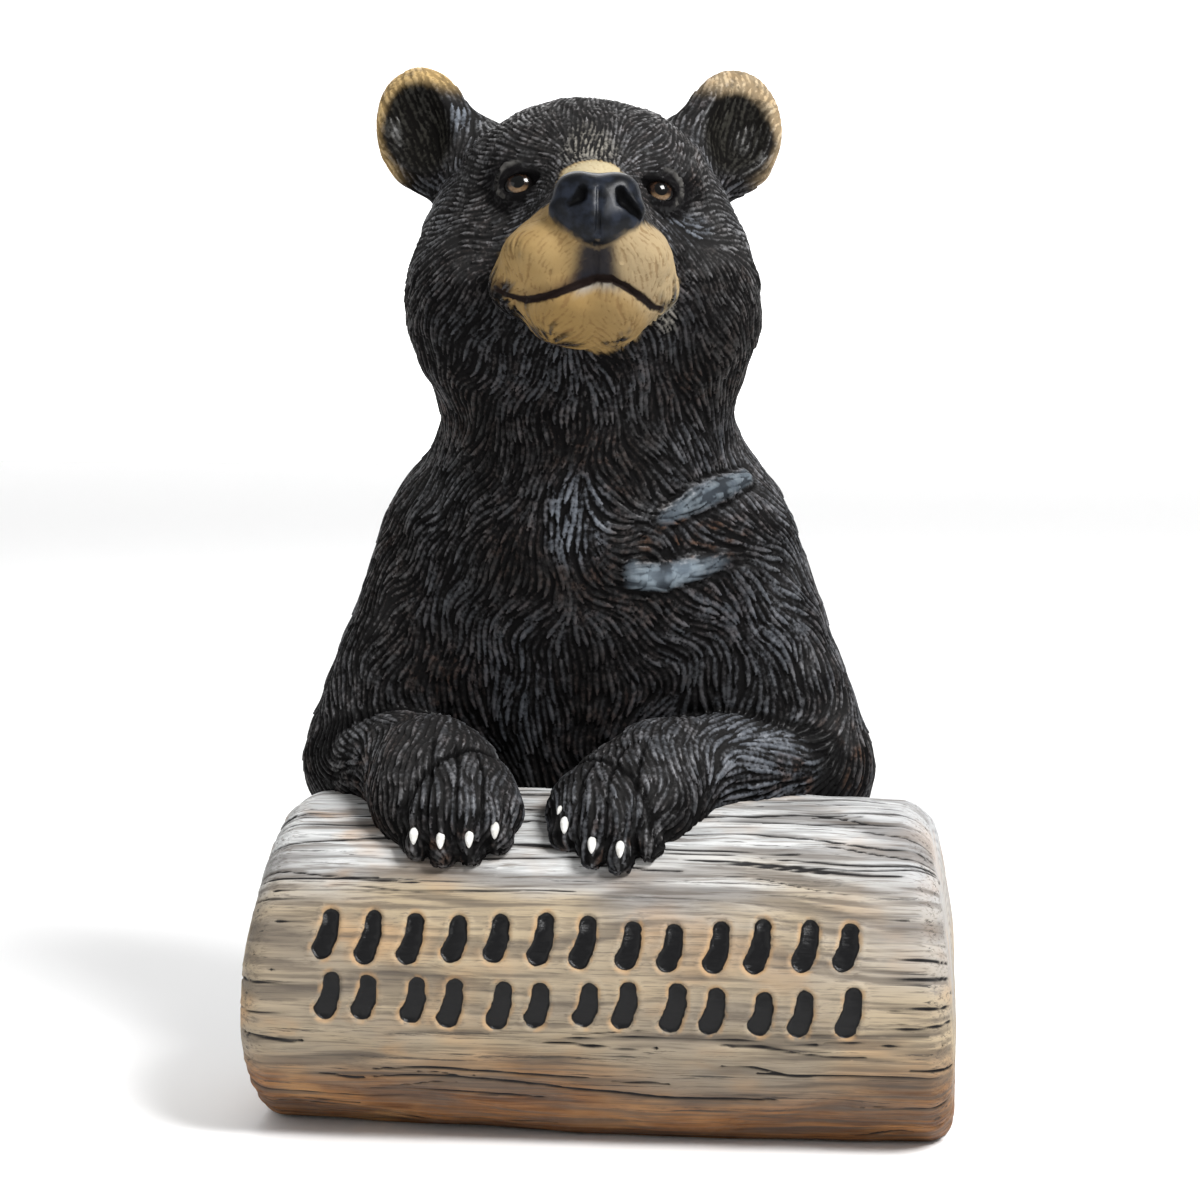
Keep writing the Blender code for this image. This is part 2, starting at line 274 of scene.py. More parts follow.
def toe_limbs(arm):
    limbs = []
    for x, y in arm.toes:
        knuckle = Vector(arm.paw).lerp(Vector((x, arm.paw[1], arm.paw[2])), 0.8)
        tip = (x, y, log_top(y) + 0.6 * TOE_RADIUS)
        limbs.append(Limb(tuple(knuckle), tip, 0.92 * TOE_RADIUS, 0.86 * TOE_RADIUS, 0.0007))
    return limbs


def forearm(arm):
    return Limb(arm.elbow, arm.wrist, 0.0215, 0.0178, 0.0)


def hand(arm):
    """The slope from the wrist down to the knuckles."""
    x, y, z = arm.paw
    return Limb(arm.wrist, (x, y - 0.0040, z), 0.0172, 0.0104, 0.006)


def paw_lumps(arm):
    side = 1 if arm is ARMS[1] else -1
    x, y, z = arm.paw
    return [
        Lump(place(*arm.paw, pitch=30), (0.0180, 0.0175, 0.0104), 0.022),
        Lump(place(x + side * 0.0145, y + 0.0060, z + 0.0010, pitch=30), (0.0105, 0.0130, 0.0095), 0.014),
    ]


def arm_distance(points, arm):
    clay = join(limb_distance(points, forearm(arm)), limb_distance(points, hand(arm)), 0.006)
    for lump in paw_lumps(arm):
        clay = join(clay, lump_distance(points, lump), lump.soft)
    return join(clay, fused(points, limbs=toe_limbs(arm)), 0.0016)


def body_distance(points):
    clay = fused(points, BODY_LUMPS, BODY_LIMBS)
    near = (points[:, 1] < 0.0) & (points[:, 2] > 0.165) & (points[:, 2] < 0.220)
    for lock in LOCKS:
        clay[near] = join(clay[near], fused(points[near], limbs=lock), 0.0035)
    return clay


def bear_distance(points):
    """Negative inside the clay and zero on its skin. Each form is only measured where it can matter."""
    clay = np.full(len(points), 1.0, np.float32)
    high, low = points[:, 2] > 0.210, points[:, 2] < 0.300
    clay[high] = head_distance(points[high])
    clay[low] = join(clay[low], body_distance(points[low]), 0.014)
    front = (points[:, 2] < 0.165) & (points[:, 1] < 0.035)
    for arm in ARMS:
        clay[front] = join(clay[front], arm_distance(points[front], arm), 0.003)
    return clay


def add_ball(blank, ball_frame, radii):
    size = Matrix.Diagonal((*radii, 1))
    bmesh.ops.create_icosphere(blank, subdivisions=3, radius=1, matrix=ball_frame @ size)


def new_piece(name, mesh):
    piece = bpy.data.objects.new(name, mesh)
    bpy.context.scene.collection.objects.link(piece)
    return piece


def piece_from(name, work):
    """Puts a finished bmesh into an object of its own."""
    mesh = bpy.data.meshes.new(name)
    work.to_mesh(mesh)
    work.free()
    return new_piece(name, mesh)


def rough_clay():
    """Overlapping balls where the lumps and limbs are, still to be fused."""
    blank = bmesh.new()
    for lump in HEAD_LUMPS + NOSE_LUMPS + EAR_LUMPS[0] + EAR_LUMPS[1] + BODY_LUMPS:
        add_ball(blank, lump.frame, lump.radii)
    limbs = [BRIDGE] + BODY_LIMBS
    for arm in ARMS:
        limbs += [forearm(arm), hand(arm)] + toe_limbs(arm)
        for lump in paw_lumps(arm):
            add_ball(blank, lump.frame, lump.radii)
    for ball in EYEBALLS:
        add_ball(blank, ball, (EYE_RADIUS,) * 3)
    for limb in limbs:
        for share in np.linspace(0, 1, 7):
            radius = limb.start_radius + share * (limb.end_radius - limb.start_radius)
            middle = Vector(limb.start).lerp(Vector(limb.end), share)
            add_ball(blank, Matrix.Translation(middle), (radius,) * 3)
    return piece_from("bear_clay", blank)


def finished(piece, kind, **settings):
    """Gives a piece one modifier and puts its result into the mesh."""
    step = piece.modifiers.new(kind, kind)
    for setting, value in settings.items():
        setattr(step, setting, value)
    graph = bpy.context.evaluated_depsgraph_get()
    mesh = bpy.data.meshes.new_from_object(piece.evaluated_get(graph))
    piece.modifiers.clear()
    piece.data = mesh


def points_of(mesh):
    points = np.empty(len(mesh.vertices) * 3, np.float32)
    mesh.vertices.foreach_get("co", points)
    return points.reshape(-1, 3)


def normals_of(mesh):
    normals = np.empty(len(mesh.vertices) * 3, np.float32)
    mesh.vertex_normals.foreach_get("vector", normals)
    return normals.reshape(-1, 3)


def move_points(mesh, points):
    mesh.vertices.foreach_set("co", points.astype(np.float32).ravel())
    mesh.update()


def note(mesh, name, values):
    """Keeps a number at every point, for the paint to read."""
    kept = mesh.attributes.new(name, "FLOAT", "POINT")
    kept.data.foreach_set("value", np.clip(values, -8, 8).astype(np.float32))


def draw_to_skin(mesh, distance, steps, near_enough=2e-5, reach=2e-4):
    """Moves each point along the distance's slope until it lies on the skin."""
    points = points_of(mesh)
    off = np.arange(len(points))
    for _ in range(steps):
        spots = points[off]
        here = distance(spots)
        far = np.abs(here) > near_enough
        off, spots, here = off[far], spots[far], here[far]
        if not len(off):
            break
        rises = [distance(spots + reach * axis) - here for axis in np.eye(3, dtype=np.float32)]
        slope = np.stack(rises, 1) / reach
        steep = np.maximum((slope * slope).sum(axis=1), 0.3)
        points[off] = spots - np.clip(here / steep, -0.003, 0.003)[:, None] * slope
    move_points(mesh, points)


def blend(value, low, high):
    """0 below low, 1 above high, and an even curve between."""
    share = np.clip((value - low) / (high - low), 0, 1)
    return share * share * (3 - 2 * share)


def unit(vectors):
    return vectors / np.maximum(np.linalg.norm(vectors, axis=1, keepdims=True), 1e-9)


def ripple(points, size, seed=0.0):
    """Soft noise, about -1 to 1, with humps as wide as size."""
    shift = Vector((seed, 2.3 * seed, -1.7 * seed))
    return np.array([noise.noise(Vector(p) / size + shift) for p in points.tolist()], np.float32) * 1.6


def along_string(points, limbs):
    return fused(points, limbs=[limb._replace(soft=0.0) for limb in limbs])


# Which way the fur lies. Each part of the animal has a lay of its own, and they run into one another.

def lay_of_fur(points, normals):
    spots = into(HEAD, points)
    turn = np.array(HEAD.to_3x3(), np.float32)
    from_nose = unit(spots - np.array((0, -0.088, -0.008), np.float32))
    cheek = blend(-spots[:, 2], 0.004, 0.030) * blend(-spots[:, 1], -0.050, 0.010)
    from_nose[:, 2] -= 0.85 * cheek
    side_of_face = np.sign(spots[:, 0])
    from_nose[:, 0] += 0.35 * side_of_face * cheek
    lay = from_nose @ turn.T

    for ear, side in zip(EAR_FRAMES, (-1, 1)):
        local = into(ear, points)
        on_ear = 1 - blend(np.linalg.norm(local / (0.024, 0.020, 0.028), axis=1), 0.75, 1.15)
        from_root = unit(local - np.array((-side * 0.006, 0, -0.034), np.float32))
        fan = from_root @ np.array(ear.to_3x3(), np.float32).T
        lay = lay * (1 - on_ear[:, None]) + fan * on_ear[:, None]

    x, y, z = points.T
    across = x - BODY_X
    heights = [0.09, 0.125, 0.150, 0.172, 0.195, 0.215, 0.250]
    outward = np.interp(z, heights, [-0.55, -0.70, 0.30, 0.85, 1.0, 0.70, 0.25])
    lean = outward * np.clip(across / 0.020, -1, 1) * np.where(across > 0, 1.15, 0.8)
    lean *= blend(-y, -0.030, 0.0)
    torso = np.stack([np.sin(lean), np.zeros_like(lean), -np.cos(lean)], 1)
    low = 1 - blend(z, 0.222, 0.262)
    lay = lay * (1 - low[:, None]) + torso * low[:, None]

    for lock in LOCKS:
        along_lock = unit(np.array(lock[-1].end)[None] - np.array(lock[0].start))
        on_lock = (1 - blend(along_string(points, lock), 0.0010, 0.0040))[:, None]
        lay = lay * (1 - on_lock) + along_lock * on_lock

    trunk = body_distance(points)
    for arm in ARMS:
        limb = arm_distance(points, arm)
        on_arm = (blend(trunk - limb, -0.001, 0.003) * (1 - blend(z, 0.150, 0.165)))[:, None]
        to_wrist = np.array(arm.wrist) - np.array(arm.elbow)
        share = np.clip((points - np.array(arm.elbow)) @ to_wrist / np.sum(to_wrist**2), 0, 1)[:, None]
        to_toes = unit(np.array([(0.1 * np.sign(arm.paw[0]), -0.80, -0.60)]))
        past_wrist = blend(share, 0.55, 1.0)
        along = unit(to_wrist[None]) * (1 - past_wrist) + to_toes * past_wrist
        along = along + np.array((0, 0, -0.30))
        lay = lay * (1 - on_arm) + along * on_arm

    bend = 0.58 * ripple(points, 0.0160, 3.0) + 0.12 * ripple(points, 0.0075, 9.0)
    lay = unit(lay - (lay * normals).sum(1, keepdims=True) * normals)
    sideways = np.cross(normals, lay)
    return unit(lay * np.cos(bend)[:, None] + sideways * np.sin(bend)[:, None]).astype(np.float32)


def fur_gap(points):
    """Spacing of the strands: finer on the face and ears."""
    spots = into(HEAD, points)
    to_face = np.linalg.norm(spots - np.array((0, -0.060, 0.0), np.float32), axis=1)
    return np.interp(to_face, [0.022, 0.050, 0.110], [0.00130, 0.00170, 0.00215])


Strands = namedtuple("Strands", "spots ways shares owners")


def tree_of(spots):
    tree = KDTree(len(spots))
    for index, spot in enumerate(spots.tolist()):
        tree.insert(spot, index)
    tree.balance()
    return tree


def comb(skin, normals, lay, gap, seed):
    """Lays strands side by side over the skin, each a gap away from the one before.

    A strand follows the lay of the fur until it is long enough or meets another.
    """
    chance = np.random.default_rng(seed)
    tree = tree_of(skin)
    skin_at, normal_at = [Vector(p) for p in skin.tolist()], [Vector(n) for n in normals.tolist()]
    lay_at, gap_at = [Vector(w) for w in lay.tolist()], gap.tolist()
    cell, stride = 0.0024, 0.0008
    taken, waiting = {}, deque()
    spots, ways, shares, owners = [], [], [], []

    def crowded(spot, room, owner=-1):
        i, j, k = int(spot.x // cell), int(spot.y // cell), int(spot.z // cell)
        for key in product((i - 1, i, i + 1), (j - 1, j, j + 1), (k - 1, k, k + 1)):
            for other, whose in taken.get(key, ()):
                if whose != owner and (other - spot).length_squared < room * room:
                    return True
        return False

    def settled(spot):
        """The spot brought level with the skin, and the nearest point of the skin."""
        index = tree.find(spot)[1]
        return spot - normal_at[index] * (spot - skin_at[index]).dot(normal_at[index]), index

    def grown(spot, index, way, owner, most):
        path = []
        for _ in range(most):
            spot, index = settled(spot + way * stride * lay_at[index])
            if crowded(spot, 0.42 * gap_at[index], owner):
                break
            path.append((spot, index))
        return path

    def lay_strand(spot):
        spot, index = settled(spot)
        if crowded(spot, 0.94 * gap_at[index]):
            return
        owner = owners[-1] + 1 if owners else 0
        most = int(chance.uniform(6, 14) * (gap_at[index] / 0.0021))
        before, after = (grown(spot, index, way, owner, most) for way in (-1, 1))
        path = before[::-1] + [(spot, index)] + after
        if len(path) < 5:
            return
        for number, (spot, index) in enumerate(path):
            key = (int(spot.x // cell), int(spot.y // cell), int(spot.z // cell))
            taken.setdefault(key, []).append((spot, owner))
            spots.append(spot)
            ways.append(lay_at[index])
            shares.append(number / (len(path) - 1))
            owners.append(owner)
        waiting.append(path[::3])

    for index in chance.permutation(len(skin)).tolist():
        lay_strand(skin_at[index])
        while waiting:
            for spot, near in waiting.popleft():
                aside = normal_at[near].cross(lay_at[near]) * gap_at[near]
                lay_strand(spot + aside)
                lay_strand(spot - aside)
    spots, ways = np.array(spots, np.float32), np.array(ways, np.float32)
    return Strands(spots, ways, np.array(shares), np.array(owners))


def strand_relief(points, strands, gap):
    """At each point, how high its nearest strand stands (0 to 1), and that strand's own number (0 to 1)."""
    tree = tree_of(strands.spots)
    nearest = np.array([tree.find(p)[1] for p in points.tolist()])
    away = points - strands.spots[nearest]
    way = unit(strands.ways[nearest])
    along = np.clip((away * way).sum(1), -0.0005, 0.0005)
    off = np.linalg.norm(away - along[:, None] * way, axis=1)
    owner = strands.owners[nearest]
    own = (np.sin(owner * 12.9898) * 43758.5453) % 1.0
    share = strands.shares[nearest]
    slim = np.clip(np.minimum(share / 0.12, (1 - share) / 0.25), 0, 1) ** 0.6
    half = gap * (0.56 + 0.08 * own) * (0.45 + 0.55 * slim)
    rounded = np.clip(1 - (off / half) ** 2, 0, 1) ** 0.8
    return (rounded * (0.72 + 0.28 * own) * (0.68 + 0.32 * share)).astype(np.float32), own.astype(np.float32)


statue = rough_clay()
finished(statue, "REMESH", mode="VOXEL", voxel_size=ROUGH_VOXEL)
draw_to_skin(statue.data, bear_distance, steps=5)
rough_points, rough_normals = points_of(statue.data), normals_of(statue.data)
lay = lay_of_fur(rough_points, rough_normals)
strands = comb(rough_points, rough_normals, lay, fur_gap(rough_points), seed=4)

finished(statue, "REMESH", mode="VOXEL", voxel_size=FINE_VOXEL)
draw_to_skin(statue.data, bear_distance, steps=3)
skin, normals = points_of(statue.data), normals_of(statue.data)
spots = into(HEAD, skin)
on_face = spots[:, 1] < -0.030
ridge, own = strand_relief(skin, strands, fur_gap(skin))


def no_mark():
    return np.zeros(len(skin), np.float32)


def face_mark(values):
    """A mark that has these values on the face, and is zero elsewhere."""
    mark = no_mark()
    mark[on_face] = values
    return mark


def area(centre, radii):
    """1 at the edge of an oval area of the head, less inside it, more outside."""
    return np.linalg.norm((spots[on_face] - np.array(centre, np.float32)) / radii, axis=1)


# Bare resin on the nose, lips and lids and inside the ears, short fur on the muzzle, and long fur elsewhere.
face = skin[on_face]
head_x, head_y, head_z = spots[on_face].T
nose = face_mark((1 - blend(fused(face, NOSE_LUMPS), 0.0003, 0.0010)) * blend(-head_y, 0.0790, 0.0815))
nostril = face_mark(1 - blend(along_string(face, NOSTRILS), 0.0001, 0.0011))
fold = face_mark(1 - blend(np.minimum(*(along_string(face, folds) for folds in LID_FOLDS)), -0.0001, 0.0005))
to_mouth = along_string(face, MOUTH)
mouth_height = np.interp(head_x, *zip(*MOUTH_LINE))
above_mouth = blend(head_z - mouth_height, -0.0010, 0.0006)
lips = face_mark(1 - blend(to_mouth, 0.0003, 0.0013))
lip_places, lip_tones = [-0.026, -0.014, -0.009, -0.004, 0.002, 0.020], [0.40, 0.55, 1.0, 1.0, 0.45, 0.30]
across_lip = np.interp(head_x, lip_places, lip_tones)
lip_shade = face_mark((1 - blend(to_mouth, 0.0010, 0.0045)) * above_mouth * across_lip)
# A painted highlight: pale grey under the middle of the lip.
mid_lip = 1 - blend(np.abs(head_x - 0.0005), 0.0035, 0.0085)
under_lip_highlight = face_mark((1 - blend(to_mouth, 0.0008, 0.0036)) * (1 - above_mouth) * mid_lip)
# Painted shade: a bluish dark wedge from the nose down to the mouth.
to_groove = along_string(face, GROOVE)
groove_reach = np.interp(head_z, [-0.0320, -0.0200], [0.0088, 0.0048])
philtrum_shade = face_mark((1 - blend(to_groove, 0.35 * groove_reach, groove_reach)) * above_mouth)
lids, socket, ear_inside, ear_rim = (no_mark() for _ in range(4))
for ball in EYEBALLS:
    from_eye = np.linalg.norm(into(ball, skin) / (1.22, 1.0, 1.0), axis=1)
    lids = np.maximum(lids, 1 - blend(from_eye, 0.0074, 0.0088))
    socket = np.maximum(socket, 1 - blend(from_eye, 0.0080, 0.0125))
for cup in EAR_CUPS:
    inside = np.linalg.norm(into(cup.frame, skin) / cup.radii, axis=1)
    ear_inside = np.maximum(ear_inside, 1 - blend(inside, 0.98, 1.22))
for ear, side in zip(EAR_FRAMES, (-1, 1)):
    local = into(ear, skin)
    high, outward = local[:, 2], side * local[:, 0]
    edge = np.linalg.norm(local / (EAR_PLACES[side][1], 0.0130, 0.0225), axis=1)
    edge += (0.16 + 0.08 * side) * blend(high, 0.000, 0.014)
    outer = np.maximum(blend(high, 0.004, 0.016), blend(outward, 0.003, 0.012) * blend(high, -0.018, -0.006))
    ear_rim = np.maximum(ear_rim, blend(edge, 0.83, 1.02) * (1 - blend(edge, 1.30, 1.50)) * outer)

# Tan paint: both sides of the muzzle down to the mouth, the chin, and a narrow band over the nose.
sides = area((-0.0015, -0.0640, -0.0205), (0.0310, 0.0370, 0.0215))
sides = np.maximum(sides, 1 + (mouth_height - head_z - 0.0010) / 0.0080)
sides = np.maximum(sides, 1 + (head_z + 0.0095 + 0.0070 * blend(head_x, 0.004, 0.012)) / 0.0160)
chin = area((-0.0003, -0.0600, -0.0338), (0.0228, 0.0310, 0.0133))
band = area((-0.0005, -0.0700, 0.0030), (0.0115, 0.0130, 0.0100))
raggedness = 0.05 * ripple(face, 0.0045, 5.0) + 0.10 * (own[on_face] - 0.5)
tan = face_mark(1 - blend(np.minimum(np.minimum(sides, chin), band) + raggedness, 0.95, 1.06))
gold = face_mark(blend(mouth_height - head_z, -0.0005, 0.0050))
corner = 1 - blend(area((0.0250, -0.0480, -0.0335), (0.0055, 0.0130, 0.0070)), 0.50, 1.20)
cream = face_mark(np.maximum(1 - blend(band, 0.75, 1.15), 0.7 * corner))
brow = area((-0.0005, -0.0560, 0.0150), (0.0105, 0.0120, 0.0130)) + raggedness
blaze = face_mark(np.maximum(1 - blend(brow, 0.30, 1.10), 0.8 * corner))

# How high the fur stands at each place.
from_muzzle = np.linalg.norm((spots - (-0.001, -0.072, -0.020)) / (0.027, 0.032, 0.030), axis=1)
on_muzzle = 1 - blend(from_muzzle, 0.75, 1.15)
height = FUR_HEIGHT * (1 - 0.76 * on_muzzle) * (1 - 0.55 * np.maximum(ear_inside, ear_rim))
height *= (1 - 0.95 * lids) * (1 - 0.40 * socket)
height *= (1 - nose) * (1 - 0.9 * lips) * (1 - 0.7 * philtrum_shade)
height *= np.interp(skin[:, 2], [0.10, 0.22, 0.26, 0.30], [1.18, 1.15, 0.95, 0.80])

on_chest = (skin[:, 1] < 0.010) & (skin[:, 2] > 0.165) & (skin[:, 2] < 0.220)
on_lock, lock_edge = no_mark(), no_mark()
for lock, strength in zip(LOCKS, (1.0, 0.7)):
    to_lock = along_string(skin[on_chest], lock)
    on_lock[on_chest] = np.maximum(on_lock[on_chest], strength * (1 - blend(to_lock, 0.0002, 0.0022)))
    lock_edge[on_chest] = np.maximum(lock_edge[on_chest], np.exp(-((to_lock - 0.0031) / 0.0010) ** 2))
ridge = ridge * (1 - 0.60 * on_lock) + 0.42 * on_lock
tufts = ripple(skin, 0.0095, 7.0)
relief = height * (ridge - 0.45) + TUFT_HEIGHT * tufts * np.clip(height / 0.0010, 0, 1)

# Deep creases where the forearms leave the body, also painted black as shade.
crease_shade = no_mark()
low_front = (skin[:, 2] < 0.165) & (skin[:, 1] < 0.035)
trunk = body_distance(skin[low_front])
for arm in ARMS:
    meet = np.abs(trunk - arm_distance(skin[low_front], arm)) + 0.6 * np.abs(bear_distance(skin[low_front]))
    crease_shade[low_front] = np.maximum(crease_shade[low_front], 1 - blend(meet, 0.0004, 0.0034))
relief -= CREASE_DEPTH * crease_shade

# Grooves between the toes that run up the paw, and a painted highlight along the backs of the toes.
between_toes, toe_back_highlight = no_mark(), no_mark()
for arm in ARMS:
    near = np.flatnonzero(low_front & (skin[:, 1] < -0.048))
    to_toes = np.sort([limb_distance(skin[near], toe) for toe in toe_limbs(arm)], axis=0)
    meet = (1 - blend(to_toes[1] - to_toes[0], 0.0006, 0.0026)) * (1 - blend(to_toes[0], 0.0020, 0.0035))
    between_toes[near] = np.maximum(between_toes[near], meet)
    near = np.flatnonzero(low_front & (skin[:, 1] < -0.032) & (np.abs(skin[:, 0] - arm.paw[0]) < 0.024))
    across, up_paw = skin[near, 0], blend(skin[near, 1], -0.066, -0.032)
    for toe_x, _ in arm.toes:
        at = toe_x + 0.45 * up_paw * (arm.wrist[0] - toe_x)
        toe_back_highlight[near] = np.maximum(toe_back_highlight[near], 1 - blend(np.abs(across - at), 0.0004, 0.0026) - up_paw)
    for (left_x, _), (right_x, _) in zip(arm.toes, arm.toes[1:]):
        middle = (left_x + right_x) / 2
        at = middle + 0.45 * up_paw * (arm.wrist[0] - middle)
        long_groove = (1 - blend(np.abs(across - at), 0.0003, 0.0013)) * (1 - blend(up_paw, 0.30, 0.85))
        between_toes[near] = np.maximum(between_toes[near], long_groove)
relief -= TOE_GROOVE_DEPTH * between_toes + LOCK_EDGE_DEPTH * lock_edge
# The grooves between the toes and a ring round the locks are painted black as shade, with the creases.
crease_shade = np.maximum(np.maximum(crease_shade, between_toes), 0.9 * lock_edge)

# Painted light with the dry brush: the brushing is made stronger on fur that faces up and on top of the
# head.
brushing_and_painted_light = 0.08 + 0.92 * blend(normals[:, 2] + 0.15 * ripple(skin, 0.012, 19.0), -0.20, 0.60)
brushing_and_painted_light *= np.interp(skin[:, 2], [0.24, 0.29], [1.0, 1.3])


def patched(base, patches):
    """The strongest, at each place, of a base and some oval patches: centre, radii and strength."""
    for centre, radii, strength in patches:
        away = np.linalg.norm((skin - np.array(centre, np.float32)) / radii, axis=1)
        base = np.maximum(base, strength * (1 - blend(away, 0.45, 1.15)))
    return base


# Where the dry brush was blue-grey, partly a painted sheen, and where it was brown or rusty.
blue = patched(0.10 + 0.22 * ripple(skin, 0.030, 11.0), (
    ((-0.009, -0.041, 0.199), (0.013, 0.030, 0.017), 0.80),
    ((0.045, -0.020, 0.118), (0.034, 0.040, 0.022), 0.65),
    ((-0.044, -0.055, 0.108), (0.020, 0.024, 0.014), 0.45),
    ((0.004, -0.055, 0.108), (0.020, 0.024, 0.014), 0.40),
    (on_head(0.0310, -0.0440, -0.0045), (0.0110, 0.0120, 0.0055), 0.85),
    (EAR_FRAMES[0] @ Vector((0.0150, -0.0030, 0.0010)), (0.0075, 0.0120, 0.0130), 1.00),
    ((0.050, 0.000, 0.160), (0.020, 0.030, 0.030), 0.45),
))
brown = 0.30 + 0.45 * ripple(skin, 0.022, 15.0)
rust = patched(np.full(len(skin), 0.06), (
    ((0.028, -0.030, 0.192), (0.022, 0.034, 0.013), 0.75),
    ((0.068, -0.010, 0.114), (0.024, 0.034, 0.020), 0.65),
    ((-0.066, -0.026, 0.116), (0.024, 0.030, 0.018), 0.60),
    ((-0.046, -0.060, 0.098), (0.018, 0.020, 0.012), 0.60),
    ((0.002, -0.060, 0.098), (0.020, 0.020, 0.012), 0.60),
))
rust *= blend(ripple(skin, 0.0042, 27.0), 0.15, 0.60)

marks = {
    "ridge": ridge, "own": own, "crease_shade": crease_shade, "on_lock": on_lock, "blaze": blaze,
    "brushing_and_painted_light": np.maximum(brushing_and_painted_light, 0.9 * toe_back_highlight), "rust": rust * (1 - on_lock),
    "blue": np.clip(blue, 0, 1.2), "brown": np.clip(brown, 0, 1),
    "ear_inside": ear_inside, "ear_rim": ear_rim, "socket": socket, "lids": lids, "fold": fold,
    "tan": tan, "gold": gold, "cream": cream, "nose": nose, "nostril": nostril, "lips": lips,
    "philtrum_shade": philtrum_shade * (1 - nose), "lip_shade": lip_shade, "under_lip_highlight": under_lip_highlight,
}
move_points(statue.data, skin + normals * relief[:, None])
for name, values in marks.items():
    note(statue.data, name, values)


def thinned(piece, most):
    """Merges the smallest triangles until about so many are left."""
    share = most / (2 * len(piece.data.polygons))
    if share < 1:
        finished(piece, "DECIMATE", ratio=share, use_collapse_triangulate=True)


def section(name, mesh, cuts):
    """A part of the casting between flat cuts, each given as a point and the direction that goes away."""
    work = bmesh.new()
    work.from_mesh(mesh)
    for spot, away in cuts:
        everything = work.verts[:] + work.edges[:] + work.faces[:]
        cut = bmesh.ops.bisect_plane(work, geom=everything, plane_co=spot, plane_no=away, clear_outer=True)
        rim_points = [part for part in cut["geom_cut"] if isinstance(part, bmesh.types.BMVert)]
        bmesh.ops.remove_doubles(work, verts=rim_points, dist=2e-6)
        rim = [edge for edge in work.edges if edge.is_boundary]
        bmesh.ops.triangle_fill(work, edges=rim, use_beauty=True, normal=Vector(away))
        for edge in rim:
            edge.smooth = False
    bmesh.ops.delete(work, geom=[edge for edge in work.edges if not edge.link_faces], context="EDGES")
    bmesh.ops.translate(work, verts=work.verts[:], vec=TO_MIDDLE)
    bmesh.ops.triangulate(work, faces=work.faces[:])
    bmesh.ops.recalc_face_normals(work, faces=work.faces[:])
    return piece_from(name, work)


thinned(statue, BEAR_TRIANGLES)
GROUND = ((0, 0, 0), (0, 0, -1))
ABOVE_NECK, BELOW_NECK = ((0, 0, NECK_CUT_Z), (0, 0, -1)), ((0, 0, NECK_CUT_Z), (0, 0, 1))
ABOVE_WAIST, BELOW_WAIST = ((0, 0, WAIST_CUT_Z), (0, 0, -1)), ((0, 0, WAIST_CUT_Z), (0, 0, 1))
BEHIND_ARMS, BEFORE_BACK = ((0, BACK_CUT_Y, 0), (0, -1, 0)), ((0, BACK_CUT_Y, 0), (0, 1, 0))
casting = [
    section("casting_head", statue.data, [ABOVE_NECK]),
    section("casting_chest", statue.data, [BELOW_NECK, BEFORE_BACK, ABOVE_WAIST]),
    section("casting_arms", statue.data, [GROUND, BEFORE_BACK, BELOW_WAIST]),
    section("casting_back", statue.data, [GROUND, BELOW_NECK, BEHIND_ARMS]),
]
bpy.data.objects.remove(statue)


# The paint, with a small language for its nodes: each call adds one node and gives back its output.

def uneven_tone():
    """Soft noise, drawn out along the axes, for the unevenness of hand painting."""
    group = bpy.data.node_groups.new("uneven_tone", "ShaderNodeTree")
    for name in ("Where", "Stretch"):
        group.interface.new_socket(name, in_out="INPUT", socket_type="NodeSocketVector")
    for name in ("Fineness", "Detail", "Breakup"):
        group.interface.new_socket(name, in_out="INPUT", socket_type="NodeSocketFloat")
    group.interface.new_socket("Tone", in_out="OUTPUT", socket_type="NodeSocketFloat")
    given, result = group.nodes.new("NodeGroupInput"), group.nodes.new("NodeGroupOutput")
    drawn, tone = group.nodes.new("ShaderNodeMapping"), group.nodes.new("ShaderNodeTexNoise")
    for start, end in (
        (given.outputs["Where"], drawn.inputs["Vector"]),
        (given.outputs["Stretch"], drawn.inputs["Scale"]),
        (drawn.outputs["Vector"], tone.inputs["Vector"]),
        (given.outputs["Fineness"], tone.inputs["Scale"]),
        (given.outputs["Detail"], tone.inputs["Detail"]),
        (given.outputs["Breakup"], tone.inputs["Roughness"]),
        (tone.outputs["Fac"], result.inputs["Tone"]),
    ):
        group.links.new(start, end)
    return group


UNEVEN_TONE = uneven_tone()


